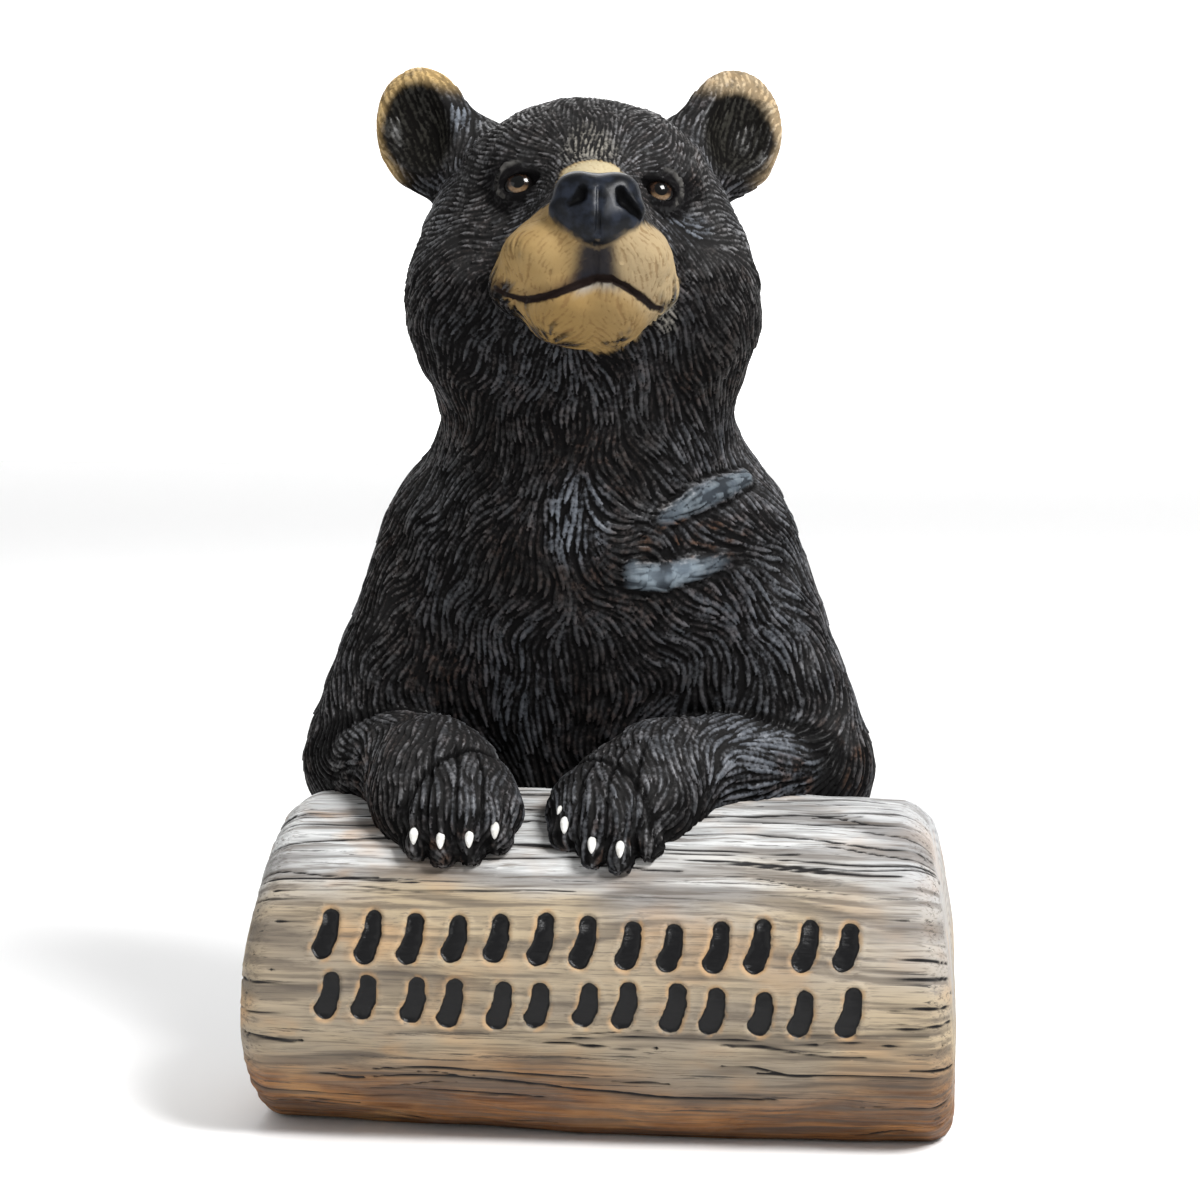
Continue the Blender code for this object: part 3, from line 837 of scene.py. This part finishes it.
class Paint:
    """A new material and its nodes."""

    def __init__(self, name):
        self.material = bpy.data.materials.new(name)
        self.material.use_nodes = True
        self.tree = self.material.node_tree
        self.where = self.tree.nodes.new("ShaderNodeTexCoord").outputs["Object"]

    def give(self, socket_in, value):
        """Links an output to an input, or sets the input to a plain number or colour."""
        if isinstance(value, bpy.types.NodeSocket):
            self.tree.links.new(value, socket_in)
        else:
            socket_in.default_value = (*value, 1) if socket_in.type == "RGBA" else value

    def feed(self, inputs):
        """Gives the shader its colour, roughness and so on."""
        for name, value in inputs.items():
            self.give(self.tree.nodes["Principled BSDF"].inputs[name], value)

    def cover(self, piece):
        """Puts the material on the piece, and leaves no other."""
        piece.data.shade_smooth()
        piece.data.materials.clear()
        piece.data.materials.append(self.material)

    def put(self, kind, inputs, output=0, **settings):
        node = self.tree.nodes.new(kind)
        for setting, value in settings.items():
            setattr(node, setting, value)
        for name, value in inputs.items():
            self.give(node.inputs[name], value)
        return node.outputs[output]

    def mark(self, name):
        return self.put("ShaderNodeAttribute", {}, output="Fac", attribute_name=name)

    def axis(self, name):
        return self.put("ShaderNodeSeparateXYZ", {"Vector": self.where}, output=name)

    def sum(self, first, second, kind="ADD"):
        return self.put("ShaderNodeMath", {0: first, 1: second}, operation=kind)

    def times(self, first, second):
        return self.sum(first, second, "MULTIPLY")

    def ramp(self, value, low, high, to_low=0.0, to_high=1.0):
        inputs = {"Value": value, "From Min": low, "From Max": high, "To Min": to_low, "To Max": to_high}
        return self.put("ShaderNodeMapRange", inputs, interpolation_type="SMOOTHSTEP")

    def noise(self, size, detail=3.0, stretch=(1, 1, 1), rough=0.5):
        inputs = {"Where": self.where, "Stretch": stretch, "Fineness": 1 / size, "Detail": detail,
                  "Breakup": rough}
        return self.put("ShaderNodeGroup", inputs, output="Tone", node_tree=UNEVEN_TONE)

    def mix(self, share, first, second):
        return self.put("ShaderNodeMix", {0: share, 6: first, 7: second}, output=2, data_type="RGBA")

    def over(self, coat, mark, colour, strength=1.0):
        """A colour over the coat where a mark says, as strong as given."""
        share = self.mark(mark)
        return self.mix(share if strength == 1.0 else self.times(share, strength), coat, colour)

    def mottled(self, size, first, second, low=0.0, high=1.0, **settings):
        """Two colours run into each other by soft noise."""
        return self.mix(self.ramp(self.noise(size, **settings), low, high), first, second)


paint = Paint("painted_fur")
uneven = paint.ramp(paint.noise(0.0014, detail=4), 0.25, 0.75, -0.20, 0.20)
ridge_mark = paint.sum(paint.mark("ridge"), uneven)
crest = paint.ramp(ridge_mark, 0.36, 0.92)
speck, own_shade = paint.noise(0.0030, detail=4), paint.mark("own")

# Black, then charcoal and brown, then the dry brush on the crests: grey, blue, pale on the brow, and rust.
# Painted light: the charcoal, the grooves and the dry brush are all lighter where the fur faces up.
black = (0.0040, 0.0038, 0.0039)
charcoal = paint.mix(own_shade, (0.0028, 0.0025, 0.0024), (0.0082, 0.0074, 0.0072))
charcoal = paint.over(charcoal, "brushing_and_painted_light", (0.0370, 0.0360, 0.0358), 0.65)
brown_share = paint.times(paint.mark("brown"), paint.ramp(speck, 0.42, 0.66))
warm = paint.mix(brown_share, charcoal, (0.036, 0.016, 0.008))
# The grey and blue of the dry brush are partly painted highlight.
dry = paint.mix(paint.ramp(speck, 0.38, 0.62, 0.10, 1.00), warm, (0.135, 0.133, 0.137))
coat = paint.mix(paint.times(paint.ramp(ridge_mark, 0.52, 0.98), paint.mark("brushing_and_painted_light")), warm, dry)
blue_share = paint.times(paint.mark("blue"), paint.ramp(paint.sum(own_shade, speck), 0.55, 1.15, 0.25, 1.0))
coat = paint.mix(blue_share, coat, paint.mix(speck, (0.026, 0.030, 0.042), (0.230, 0.255, 0.290)))
coat = paint.over(coat, "blaze", (0.230, 0.215, 0.185))
coat = paint.over(coat, "rust", (0.070, 0.031, 0.013))
groove = paint.mix(paint.ramp(paint.mark("brushing_and_painted_light"), 0.55, 1.00, 0.0, 0.85), black, (0.0160, 0.0155, 0.0155))
coat = paint.mix(crest, groove, coat)
lock_coat = paint.mottled(0.0060, (0.090, 0.112, 0.135), (0.165, 0.200, 0.228), 0.35, 0.65)
lock_coat = paint.mix(paint.ramp(paint.mark("ridge"), 0.28, 0.58), (0.042, 0.051, 0.062), lock_coat)
coat = paint.over(coat, "on_lock", lock_coat)
# Painted shade: black in the creases, the toe grooves and the ring round the locks.
coat = paint.mix(paint.ramp(paint.mark("crease_shade"), 0.2, 1.0), coat, black)
# Painted shade: near black in the eye sockets.
coat = paint.mix(paint.ramp(paint.mark("socket"), 0.2, 1.0, 0.0, 0.80), coat, (0.0035, 0.0032, 0.0035))

# The ears: dark cups and tan rims, more golden on the bear's right ear.
across = paint.axis("X")
cup_coat = paint.mix(paint.noise(0.0050), (0.0080, 0.0078, 0.0065), (0.030, 0.028, 0.022))
coat = paint.over(coat, "ear_inside", paint.mix(crest, (0.0040, 0.0036, 0.0032), cup_coat))
rim = paint.mix(paint.noise(0.0050), (0.33, 0.210, 0.090), (0.56, 0.470, 0.330))
rim = paint.mix(paint.ramp(across, -0.040, -0.055, 0.0, 0.80), rim, (0.58, 0.390, 0.150))
rim = paint.mix(paint.ramp(crest, 0.0, 0.9, 0.45, 1.0), (0.055, 0.036, 0.020), rim)
rim_share = paint.times(paint.mark("ear_rim"), paint.ramp(paint.noise(0.0040), 0.25, 0.50, 0.4, 1.0))
coat = paint.mix(rim_share, coat, rim)

# The muzzle: tan, paler on one side as painted light, golden on the chin and cream above the nose.
tan_coat = paint.mix(paint.noise(0.0080), (0.235, 0.150, 0.058), (0.285, 0.200, 0.090))
tan_coat = paint.mix(paint.ramp(across, -0.010, 0.015, 0.0, 0.55), tan_coat, (0.350, 0.285, 0.185))
tan_coat = paint.over(tan_coat, "gold", (0.215, 0.135, 0.048), 0.75)
tan_coat = paint.mix(paint.ramp(ridge_mark, 0.0, 0.5, 0.45, 1.0), (0.145, 0.082, 0.034), tan_coat)
cream_share = paint.times(paint.mark("cream"), paint.ramp(ridge_mark, 0.0, 0.5, 0.55, 0.95))
coat = paint.over(coat, "tan", paint.mix(cream_share, tan_coat, (0.410, 0.345, 0.215)))
# Painted highlight: pale grey under the middle of the lip.
coat = paint.over(coat, "under_lip_highlight", (0.235, 0.240, 0.235), 0.65)
coat = paint.over(coat, "lip_shade", (0.042, 0.024, 0.016), 0.75)
# Painted shade down from the nose to the mouth.
coat = paint.over(coat, "philtrum_shade", (0.0100, 0.0120, 0.0185), 0.95)
coat = paint.mix(paint.ramp(paint.mark("lips"), 0.10, 0.90), coat, (0.0110, 0.0070, 0.0060))
coat = paint.mix(paint.ramp(paint.mark("lids"), 0.1, 0.9), coat, (0.0040, 0.0036, 0.0040))
coat = paint.over(coat, "fold", (0.100, 0.096, 0.090), 0.85)
nose_coat = paint.mottled(0.0050, (0.0038, 0.0044, 0.0060), (0.0125, 0.0155, 0.0235), 0.40, 0.65)
coat = paint.over(coat, "nose", nose_coat)
# Painted shade: near black in the nostrils.
coat = paint.over(coat, "nostril", (0.0012, 0.0012, 0.0014))

# Satin on the crests of the fur and on the nose, dull in the grooves and the nostrils.
fur_rough = paint.mix(crest, (0.85,) * 3, paint.ramp(paint.noise(0.0045), 0.3, 0.7, 0.34, 0.50))
nose_rough = paint.mix(paint.mark("nostril"), (0.29,) * 3, (0.85,) * 3)
satin = paint.over(paint.over(fur_rough, "nose", nose_rough), "tan", (0.58,) * 3)
off_tan, off_nostril = (paint.sum(1.0, paint.mark(name), "SUBTRACT") for name in ("tan", "nostril"))
gloss = paint.times(paint.ramp(ridge_mark, 0.40, 0.95, 0.02, 0.26), off_tan)
gloss = paint.sum(gloss, paint.times(paint.mark("nose"), 0.22), "MAXIMUM")
hair = {"Height": paint.noise(0.0009, detail=2), "Strength": 0.30, "Distance": 0.0003}
paint.feed({
    "Base Color": coat, "Roughness": satin, "Coat Weight": paint.times(gloss, off_nostril),
    "Normal": paint.put("ShaderNodeBump", hair), "Specular IOR Level": 0.03, "Coat Roughness": 0.34,
})
for piece in casting:
    paint.cover(piece)
    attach(piece, "root")
    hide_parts("bear_on_log")


# === The eyes ===
# Modelled as two balls behind the lids and painted black, with a dull amber iris, lightest low down.
# They are glazed with clear varnish, so they are the glossiest part of the statue.

IRIS_RADIUS, PUPIL_RADIUS = 0.0037, 0.0022

balls = [Matrix.Translation(TO_MIDDLE) @ ball for ball in EYEBALLS]
work = bmesh.new()
for ball in balls:
    bmesh.ops.create_icosphere(work, subdivisions=5, radius=EYE_RADIUS, matrix=ball)
eyes = piece_from("eyes", work)
points = points_of(eyes.data)
from_iris = np.full(len(points), 1.0)
height_in_eye = np.zeros(len(points))
for ball in balls:
    local = into(ball, points)
    mine = np.linalg.norm(local, axis=1) < EYE_RADIUS * 1.01
    flat = np.hypot(local[:, 0], local[:, 2] + 0.0004)
    ahead = mine & (local[:, 1] < 0)
    from_iris[ahead] = flat[ahead]
    height_in_eye[mine] = local[mine, 2]
# Kept in millimetres.
note(eyes.data, "from_iris", from_iris * 1000)
note(eyes.data, "height_in_eye", height_in_eye * 1000)

paint = Paint("glazed_eye")
radius = paint.mark("from_iris")
low_down = paint.ramp(paint.mark("height_in_eye"), -2.8, -1.2)
amber = paint.mix(low_down, (0.185, 0.120, 0.066), (0.004, 0.0033, 0.0030))
amber = paint.mix(paint.ramp(paint.noise(0.0007), 0.35, 0.65, 0.0, 0.45), amber, (0.050, 0.022, 0.010))
pupil_edge, iris_edge = 1000 * PUPIL_RADIUS, 1000 * IRIS_RADIUS
colour = paint.mix(paint.ramp(radius, pupil_edge - 0.15, pupil_edge + 0.15), (0.0025,) * 3, amber)
colour = paint.mix(paint.ramp(radius, iris_edge - 0.45, iris_edge), colour, (0.0035, 0.0030, 0.0030))
paint.feed({"Base Color": colour, "Roughness": 0.12, "Specular IOR Level": 0.2, "Coat Weight": 0.15})
paint.cover(eyes)
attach(eyes, "root")
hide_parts("bear_on_log")


# === The claws ===
# Short blunt claws that stand out of the toe tips, cast with them and painted white with gloss enamel.
# Four show on one paw and three on the other, with a small inner one.

CLAW_LENGTH, CLAW_WIDTH = 0.0056, 0.0032
CLAWED_TOES = LEFT_TOES + RIGHT_TOES[:3]


def claw_shape(work, claw_frame, scale=1.0):
    """A ball drawn out, thinned to its tip and curved down."""
    made = bmesh.ops.create_icosphere(work, subdivisions=3, radius=1)["verts"]
    for vert in made:
        along = (1 - vert.co.z) / 2
        slim = 1 - 0.45 * along**1.5
        vert.co.x *= CLAW_WIDTH / 2 * slim
        vert.co.y = vert.co.y * CLAW_WIDTH / 2.2 * slim - 0.0006 * sin(pi * along)
        vert.co.z *= CLAW_LENGTH / 2
    bmesh.ops.scale(work, verts=made, vec=(scale,) * 3)
    bmesh.ops.transform(work, verts=made, matrix=claw_frame)


def claw_seat(x, y):
    """The spot on the upper front of a toe, just proud of the clay."""
    tip, outward = Vector((x, y, log_top(y) + 0.6 * TOE_RADIUS)), Vector((0, -0.72, 0.48)).normalized()
    path = [tip + outward * reach for reach in np.linspace(0.003, 0.012, 91)]
    clay = bear_distance(np.array(path, np.float32))
    return path[np.argmax(clay > 0.0003)]


work = bmesh.new()
for x, y in CLAWED_TOES:
    seat = claw_seat(x, y)
    claw_shape(work, Matrix.Translation(TO_MIDDLE) @ place(*seat, pitch=-22))
claw_shape(work, Matrix.Translation(TO_MIDDLE) @ place(-0.0118, -0.0640, 0.1085, pitch=-20, roll=20), 0.55)
claws = piece_from("claws", work)
paint = Paint("white_enamel")
enamel = paint.mottled(0.0022, (0.78, 0.78, 0.76), (0.55, 0.54, 0.50), 0.35, 0.70)
paint.feed({"Base Color": enamel, "Roughness": 0.28})
paint.cover(claws)
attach(claws, "root")
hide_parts("bear_on_log")


# === The log ===
# A thick length of weathered trunk, cast with the bear, with cracks and worn grain along it. It is painted
# cream, grey and tan with a black wash in the cracks, and two rows of shallow strokes are cut in its front
# and painted gloss black.

LOG_VOXEL = 0.00085
LOG_TRIANGLES = 190000
CRACKS, LONG_CRACKS = 190, 26
ROW_HEIGHTS = (0.0705, 0.0505)
FIBRE_RISE, BARK_RISE, CRACK_DEPTH = 0.00024, 0.00060, 0.00115
RING_DEPTH, RING_SPACING, CHECK_DEPTH = 0.00022, 0.0034, 0.0008
ROW_ENDS = (-0.0845, 0.0805)
STROKES_IN_ROW, STROKE_LENGTH, STROKE_WIDTH, STROKE_DEPTH = 13, 0.0098, 0.0062, 0.0015


def log_distance(points):
    """A little stouter at its right end, with rounded ends."""
    x, y, z = points.T
    half, edge = LOG_LENGTH / 2, 0.009
    angle = np.arctan2(z - LOG_AXIS_Z, y - LOG_AXIS_Y)
    radius = LOG_RADIUS + 0.007 * x - 0.0022 * (x / half) ** 2
    radius = radius + 0.0007 * np.sin(3 * angle + 14 * x) + 0.0005 * np.sin(5 * angle - 30 * x)
    length = half - 0.0100 * np.clip((z - 0.030) / 0.075, 0, 1.2) ** 2
    outward = np.hypot(y - LOG_AXIS_Y, z - LOG_AXIS_Z) - radius + edge
    past_end = np.abs(x) - length + edge
    outside = np.hypot(np.maximum(outward, 0), np.maximum(past_end, 0))
    return outside + np.minimum(np.maximum(outward, past_end), 0) - edge


blank = bmesh.new()
drum = Matrix.Translation((0, LOG_AXIS_Y, LOG_AXIS_Z)) @ Matrix.Rotation(pi / 2, 4, "Y")
bmesh.ops.create_cone(blank, cap_ends=True, segments=96, radius1=LOG_RADIUS, radius2=LOG_RADIUS,
                      depth=LOG_LENGTH - 0.004, matrix=drum)
log = piece_from("log_clay", blank)
finished(log, "REMESH", mode="VOXEL", voxel_size=LOG_VOXEL)
draw_to_skin(log.data, log_distance, steps=5)
skin, normals = points_of(log.data), normals_of(log.data)
x, y, z = skin.T
angle = np.arctan2(z - LOG_AXIS_Z, -(y - LOG_AXIS_Y))
around = angle * LOG_RADIUS
on_end = blend(np.abs(normals[:, 0]), 0.86, 0.97)

# Grain: fine fibres that run along the log and sway a little.
sway = 0.0035 * ripple(skin * (0.35, 1, 1), 0.030, 2.0)
fibre_place = np.stack([x * 0.055, around + sway, 0 * x], 1)
fibres = ripple(fibre_place, 0.0016, 21.0) * (1 - on_end)
bark = ripple(np.stack([x * 0.16, around + 2 * sway, 0 * x], 1), 0.0060, 31.0) * (1 - on_end)

# Cracks: long, thin, tapering cuts with the grain, thicker near the ends and under the paws.
chance = np.random.default_rng(12)
crack = no_mark()
for number in range(CRACKS + LONG_CRACKS):
    middle = chance.uniform(-0.5, 0.5) * LOG_LENGTH
    at = (chance.uniform(0.45, 1.30) if number < LONG_CRACKS else chance.uniform(-pi, pi)) * LOG_RADIUS
    long_one = number < LONG_CRACKS or chance.random() < 0.30
    length = chance.uniform(0.008, 0.030) * (2.2 if long_one else 1.0)
    width = chance.uniform(0.00035, 0.00085)
    swing = chance.uniform(-0.0016, 0.0016)
    near = (np.abs(x - middle) < length) & (np.abs(around + sway - at) < 0.006)
    run = (x[near] - middle) / length
    off = np.abs(around[near] + sway[near] - at - swing * np.sin(2.4 * run))
    body = np.clip(1 - run**2, 0, 1) ** 0.5
    cut = np.clip(1 - off / np.maximum(width * body, 1e-5), 0, 1) * chance.uniform(0.55, 1.0)
    crack[near] = np.maximum(crack[near], cut)
crack *= 1 - on_end
smooth_band = blend(z, 0.036, 0.046) * (1 - blend(z, 0.080, 0.088)) * (y < LOG_AXIS_Y)
smooth_band *= 1 - blend(np.abs(x), 0.088, 0.104)
crack *= 1 - 0.85 * smooth_band

# The two rows of strokes, on the front where the letters stood.
stroke = np.full(len(skin), 1.0, np.float32)
front = (y < LOG_AXIS_Y) & (z > 0.030)
for row, row_height in enumerate(ROW_HEIGHTS):
    for number in range(STROKES_IN_ROW):
        centre_x = np.interp(number, [0, STROKES_IN_ROW - 1], ROW_ENDS) + 0.0012 * sin(3.1 * number + row)
        centre_z = row_height - 0.020 * (centre_x + 0.084) * 0.30 + 0.0007 * sin(5.3 * number + 2 * row)
        long = STROKE_LENGTH * (0.96 + 0.10 * sin(7.7 * number + 3 * row))
        dx, dz = x[front] - centre_x, z[front] - centre_z
        run = np.clip((dz + 0.18 * dx) / long, -0.5, 0.5)
        bow = 0.0007 * np.cos(pi * run)
        half_width = STROKE_WIDTH / 2 * (1.08 - 0.25 * run)
        off = np.hypot(dx - 0.24 * run * long - bow, dz - run * long) - half_width
        stroke[front] = np.minimum(stroke[front], off)
edge_wave = 0.00022 * ripple(skin, 0.0022, 41.0)
cut_in = 1 - blend(stroke + edge_wave, -0.0008, 0.0003)

# The ends: growth rings and a few checks that spread from the heart.
ring_radius = np.hypot(y - LOG_AXIS_Y, z - LOG_AXIS_Z) + 0.0012 * ripple(skin, 0.012, 51.0)
rings = on_end * (0.5 + 0.5 * np.sin(ring_radius / RING_SPACING * 2 * pi))
checks = on_end * np.clip(1 - np.abs(np.sin(3.5 * angle + 0.5 * ripple(skin, 0.020, 55.0))) / 0.05, 0, 1)

crack *= 1 - cut_in
relief = (FIBRE_RISE * fibres + BARK_RISE * bark) * (1 - 0.85 * cut_in) - CRACK_DEPTH * crack
relief -= STROKE_DEPTH * cut_in + RING_DEPTH * rings + CHECK_DEPTH * checks
relief += 0.0004 * ripple(skin, 0.018, 61.0) + 0.00025 * np.exp(-(stroke / 0.0009 - 1.2) ** 2)
marks = {
    "crack": np.maximum(crack, np.maximum(0.22 * rings, 0.8 * checks)), "on_end": on_end,
    "fibres": fibres, "bark": bark, "smooth_band": smooth_band,
    "cut_in": cut_in, "near_stroke": 1 - blend(stroke, 0.0000, 0.0014),
}
move_points(log.data, skin + normals * relief[:, None])
for name, values in marks.items():
    note(log.data, name, values)
thinned(log, LOG_TRIANGLES)
casting_log = section("casting_log", log.data, [((0, 0, 0.0002), (0, 0, -1))])
bpy.data.objects.remove(log)

paint = Paint("painted_log")
high, along = paint.axis("Z"), paint.axis("X")
long_grain = paint.noise(0.0022, detail=7, stretch=(0.030, 1, 1), rough=0.75)
hair_grain = paint.noise(0.0008, detail=3, stretch=(0.024, 1, 1), rough=0.6)
broad = paint.noise(0.026, detail=3, stretch=(0.35, 1, 1))
along_side = paint.ramp(paint.mark("on_end"), 0.0, 1.0, 1.0, 0.12)

# Tan on the side, grey-white on top and orange-brown at the foot, with ochre towards one end.
middle = paint.mix(paint.ramp(broad, 0.35, 0.65), (0.380, 0.305, 0.202), (0.262, 0.220, 0.166))
middle = paint.mix(paint.ramp(long_grain, 0.50, 0.36, 0.0, 0.65), middle, (0.150, 0.122, 0.092))
grain_share = paint.ramp(long_grain, 0.35, 0.65)
top = paint.mix(grain_share, (0.35, 0.355, 0.355), (0.63, 0.635, 0.630))
foot = paint.mix(grain_share, (0.085, 0.031, 0.009), (0.270, 0.120, 0.040))
ragged = paint.sum(high, paint.ramp(broad, 0.2, 0.8, -0.010, 0.010))
base = paint.mix(paint.ramp(ragged, 0.074, 0.096), middle, top)
base = paint.mix(paint.ramp(ragged, 0.036, 0.014), base, foot)
# Painted highlight: pale blue-grey on the upper part of the right end.
right_end_light = paint.times(paint.ramp(along, 0.060, 0.108, 0.0, 0.65), paint.ramp(ragged, 0.040, 0.070))
base = paint.mix(right_end_light, base, (0.365, 0.368, 0.375))
ochre = paint.ramp(paint.noise(0.017, detail=3, stretch=(0.6, 1, 1)), 0.50, 0.70, 0.0, 0.60)
left_end = paint.ramp(along, -0.030, -0.105, 0.45, 1.0)
base = paint.mix(paint.times(ochre, left_end), base, (0.46, 0.260, 0.110))

# Fine dark lines with the grain, and the black wash, which is thin on the smooth band behind the strokes.
fine_lines = paint.times(paint.ramp(hair_grain, 0.50, 0.68, 0.0, 0.60), along_side)
base = paint.mix(fine_lines, base, (0.120, 0.096, 0.074))
base = paint.mix(paint.ramp(paint.mark("fibres"), 0.0, -0.9, 0.0, 0.65), base, (0.085, 0.068, 0.055))
base = paint.mix(paint.ramp(paint.mark("bark"), 0.0, -0.8, 0.0, 0.55), base, (0.080, 0.066, 0.056))
wash = paint.ramp(paint.noise(0.0022, detail=6, stretch=(0.022, 1, 1), rough=0.78), 0.56, 0.64, 0.0, 0.85)
wash = paint.times(wash, paint.ramp(paint.mark("smooth_band"), 0.0, 1.0, 1.0, 0.25))
base = paint.mix(paint.times(wash, along_side), base, (0.030, 0.027, 0.026))
base = paint.mix(paint.ramp(paint.mark("crack"), 0.05, 0.50), base, (0.010, 0.0090, 0.0090))

# The strokes, with an uneven ochre halo.
halo = paint.times(paint.mark("near_stroke"), paint.ramp(paint.noise(0.0050), 0.42, 0.62, 0.0, 0.6))
base = paint.mix(halo, base, (0.47, 0.290, 0.140))
cut = paint.ramp(paint.mark("cut_in"), 0.35, 0.60)
base = paint.mix(cut, base, (0.0030, 0.0030, 0.0036))
dull = paint.ramp(paint.noise(0.0060), 0.3, 0.7, 0.52, 0.72)
grain = {"Height": long_grain, "Strength": 0.5, "Distance": 0.0005}
paint.feed({
    "Base Color": base, "Roughness": paint.mix(cut, dull, (0.30,) * 3),
    "Normal": paint.put("ShaderNodeBump", grain), "Specular IOR Level": 0.25,
})
paint.cover(casting_log)
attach(casting_log, "root")
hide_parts("bear_on_log")


# === The stage ===
# A plain pale floor and a bright backdrop, soft light from the upper right and all round, and the camera a
# little to the bear's left.


def sheet(name, half_width, frame_of):
    """A flat square."""
    work = bmesh.new()
    bmesh.ops.create_grid(work, x_segments=1, y_segments=1, size=half_width, matrix=frame_of)
    return piece_from(name, work)


floor = sheet("floor", 6, place(0, 0, -0.0003))
paint = Paint("pale_floor")
paint.feed({"Base Color": (0.90, 0.90, 0.90), "Roughness": 0.9})
paint.cover(floor)

backdrop = sheet("backdrop", 3.5, place(0, 2.6, 3.4, pitch=90))
paint = Paint("bright_backdrop")
paint.feed({"Emission Color": (1, 1, 1), "Emission Strength": 1.0})
paint.cover(backdrop)


def softbox(name, spot, watts, size):
    light = bpy.data.lights.new(name, "AREA")
    light.energy, light.size = watts, size
    lamp = bpy.data.objects.new(name, light)
    lamp.location = spot
    lamp.rotation_euler = (Vector((0, 0, 0.18)) - Vector(spot)).to_track_quat("-Z", "Y").to_euler()
    bpy.context.scene.collection.objects.link(lamp)


softbox("key", (0.85, -0.75, 1.35), 40.0, 0.50)
softbox("fill", (-1.00, -0.90, 0.60), 2.5, 0.80)
softbox("back", (-0.20, 1.10, 1.10), 6.0, 0.80)
world = bpy.data.worlds.new("studio")
bpy.context.scene.world = world
world.use_nodes = True
surround = world.node_tree.nodes["Background"]
surround.inputs["Color"].default_value = (1, 1, 1, 1)
surround.inputs["Strength"].default_value = 0.38
bpy.context.scene.view_settings.view_transform = "Standard"

AZIMUTH, ELEVATION, DISTANCE = radians(6.0), radians(7.0), 1.10
LOOK_AT = Vector((-0.0050, 0.0, 0.1685))
lens = bpy.data.cameras.new("camera")
lens.lens, lens.sensor_width = 99.4, 36.0
camera = bpy.data.objects.new("camera", lens)
back = Vector((sin(AZIMUTH) * cos(ELEVATION), -cos(AZIMUTH) * cos(ELEVATION), sin(ELEVATION)))
camera.location = LOOK_AT + back * DISTANCE
camera.rotation_euler = (-back).to_track_quat("-Z", "Y").to_euler()
bpy.context.scene.collection.objects.link(camera)
bpy.context.scene.camera = camera
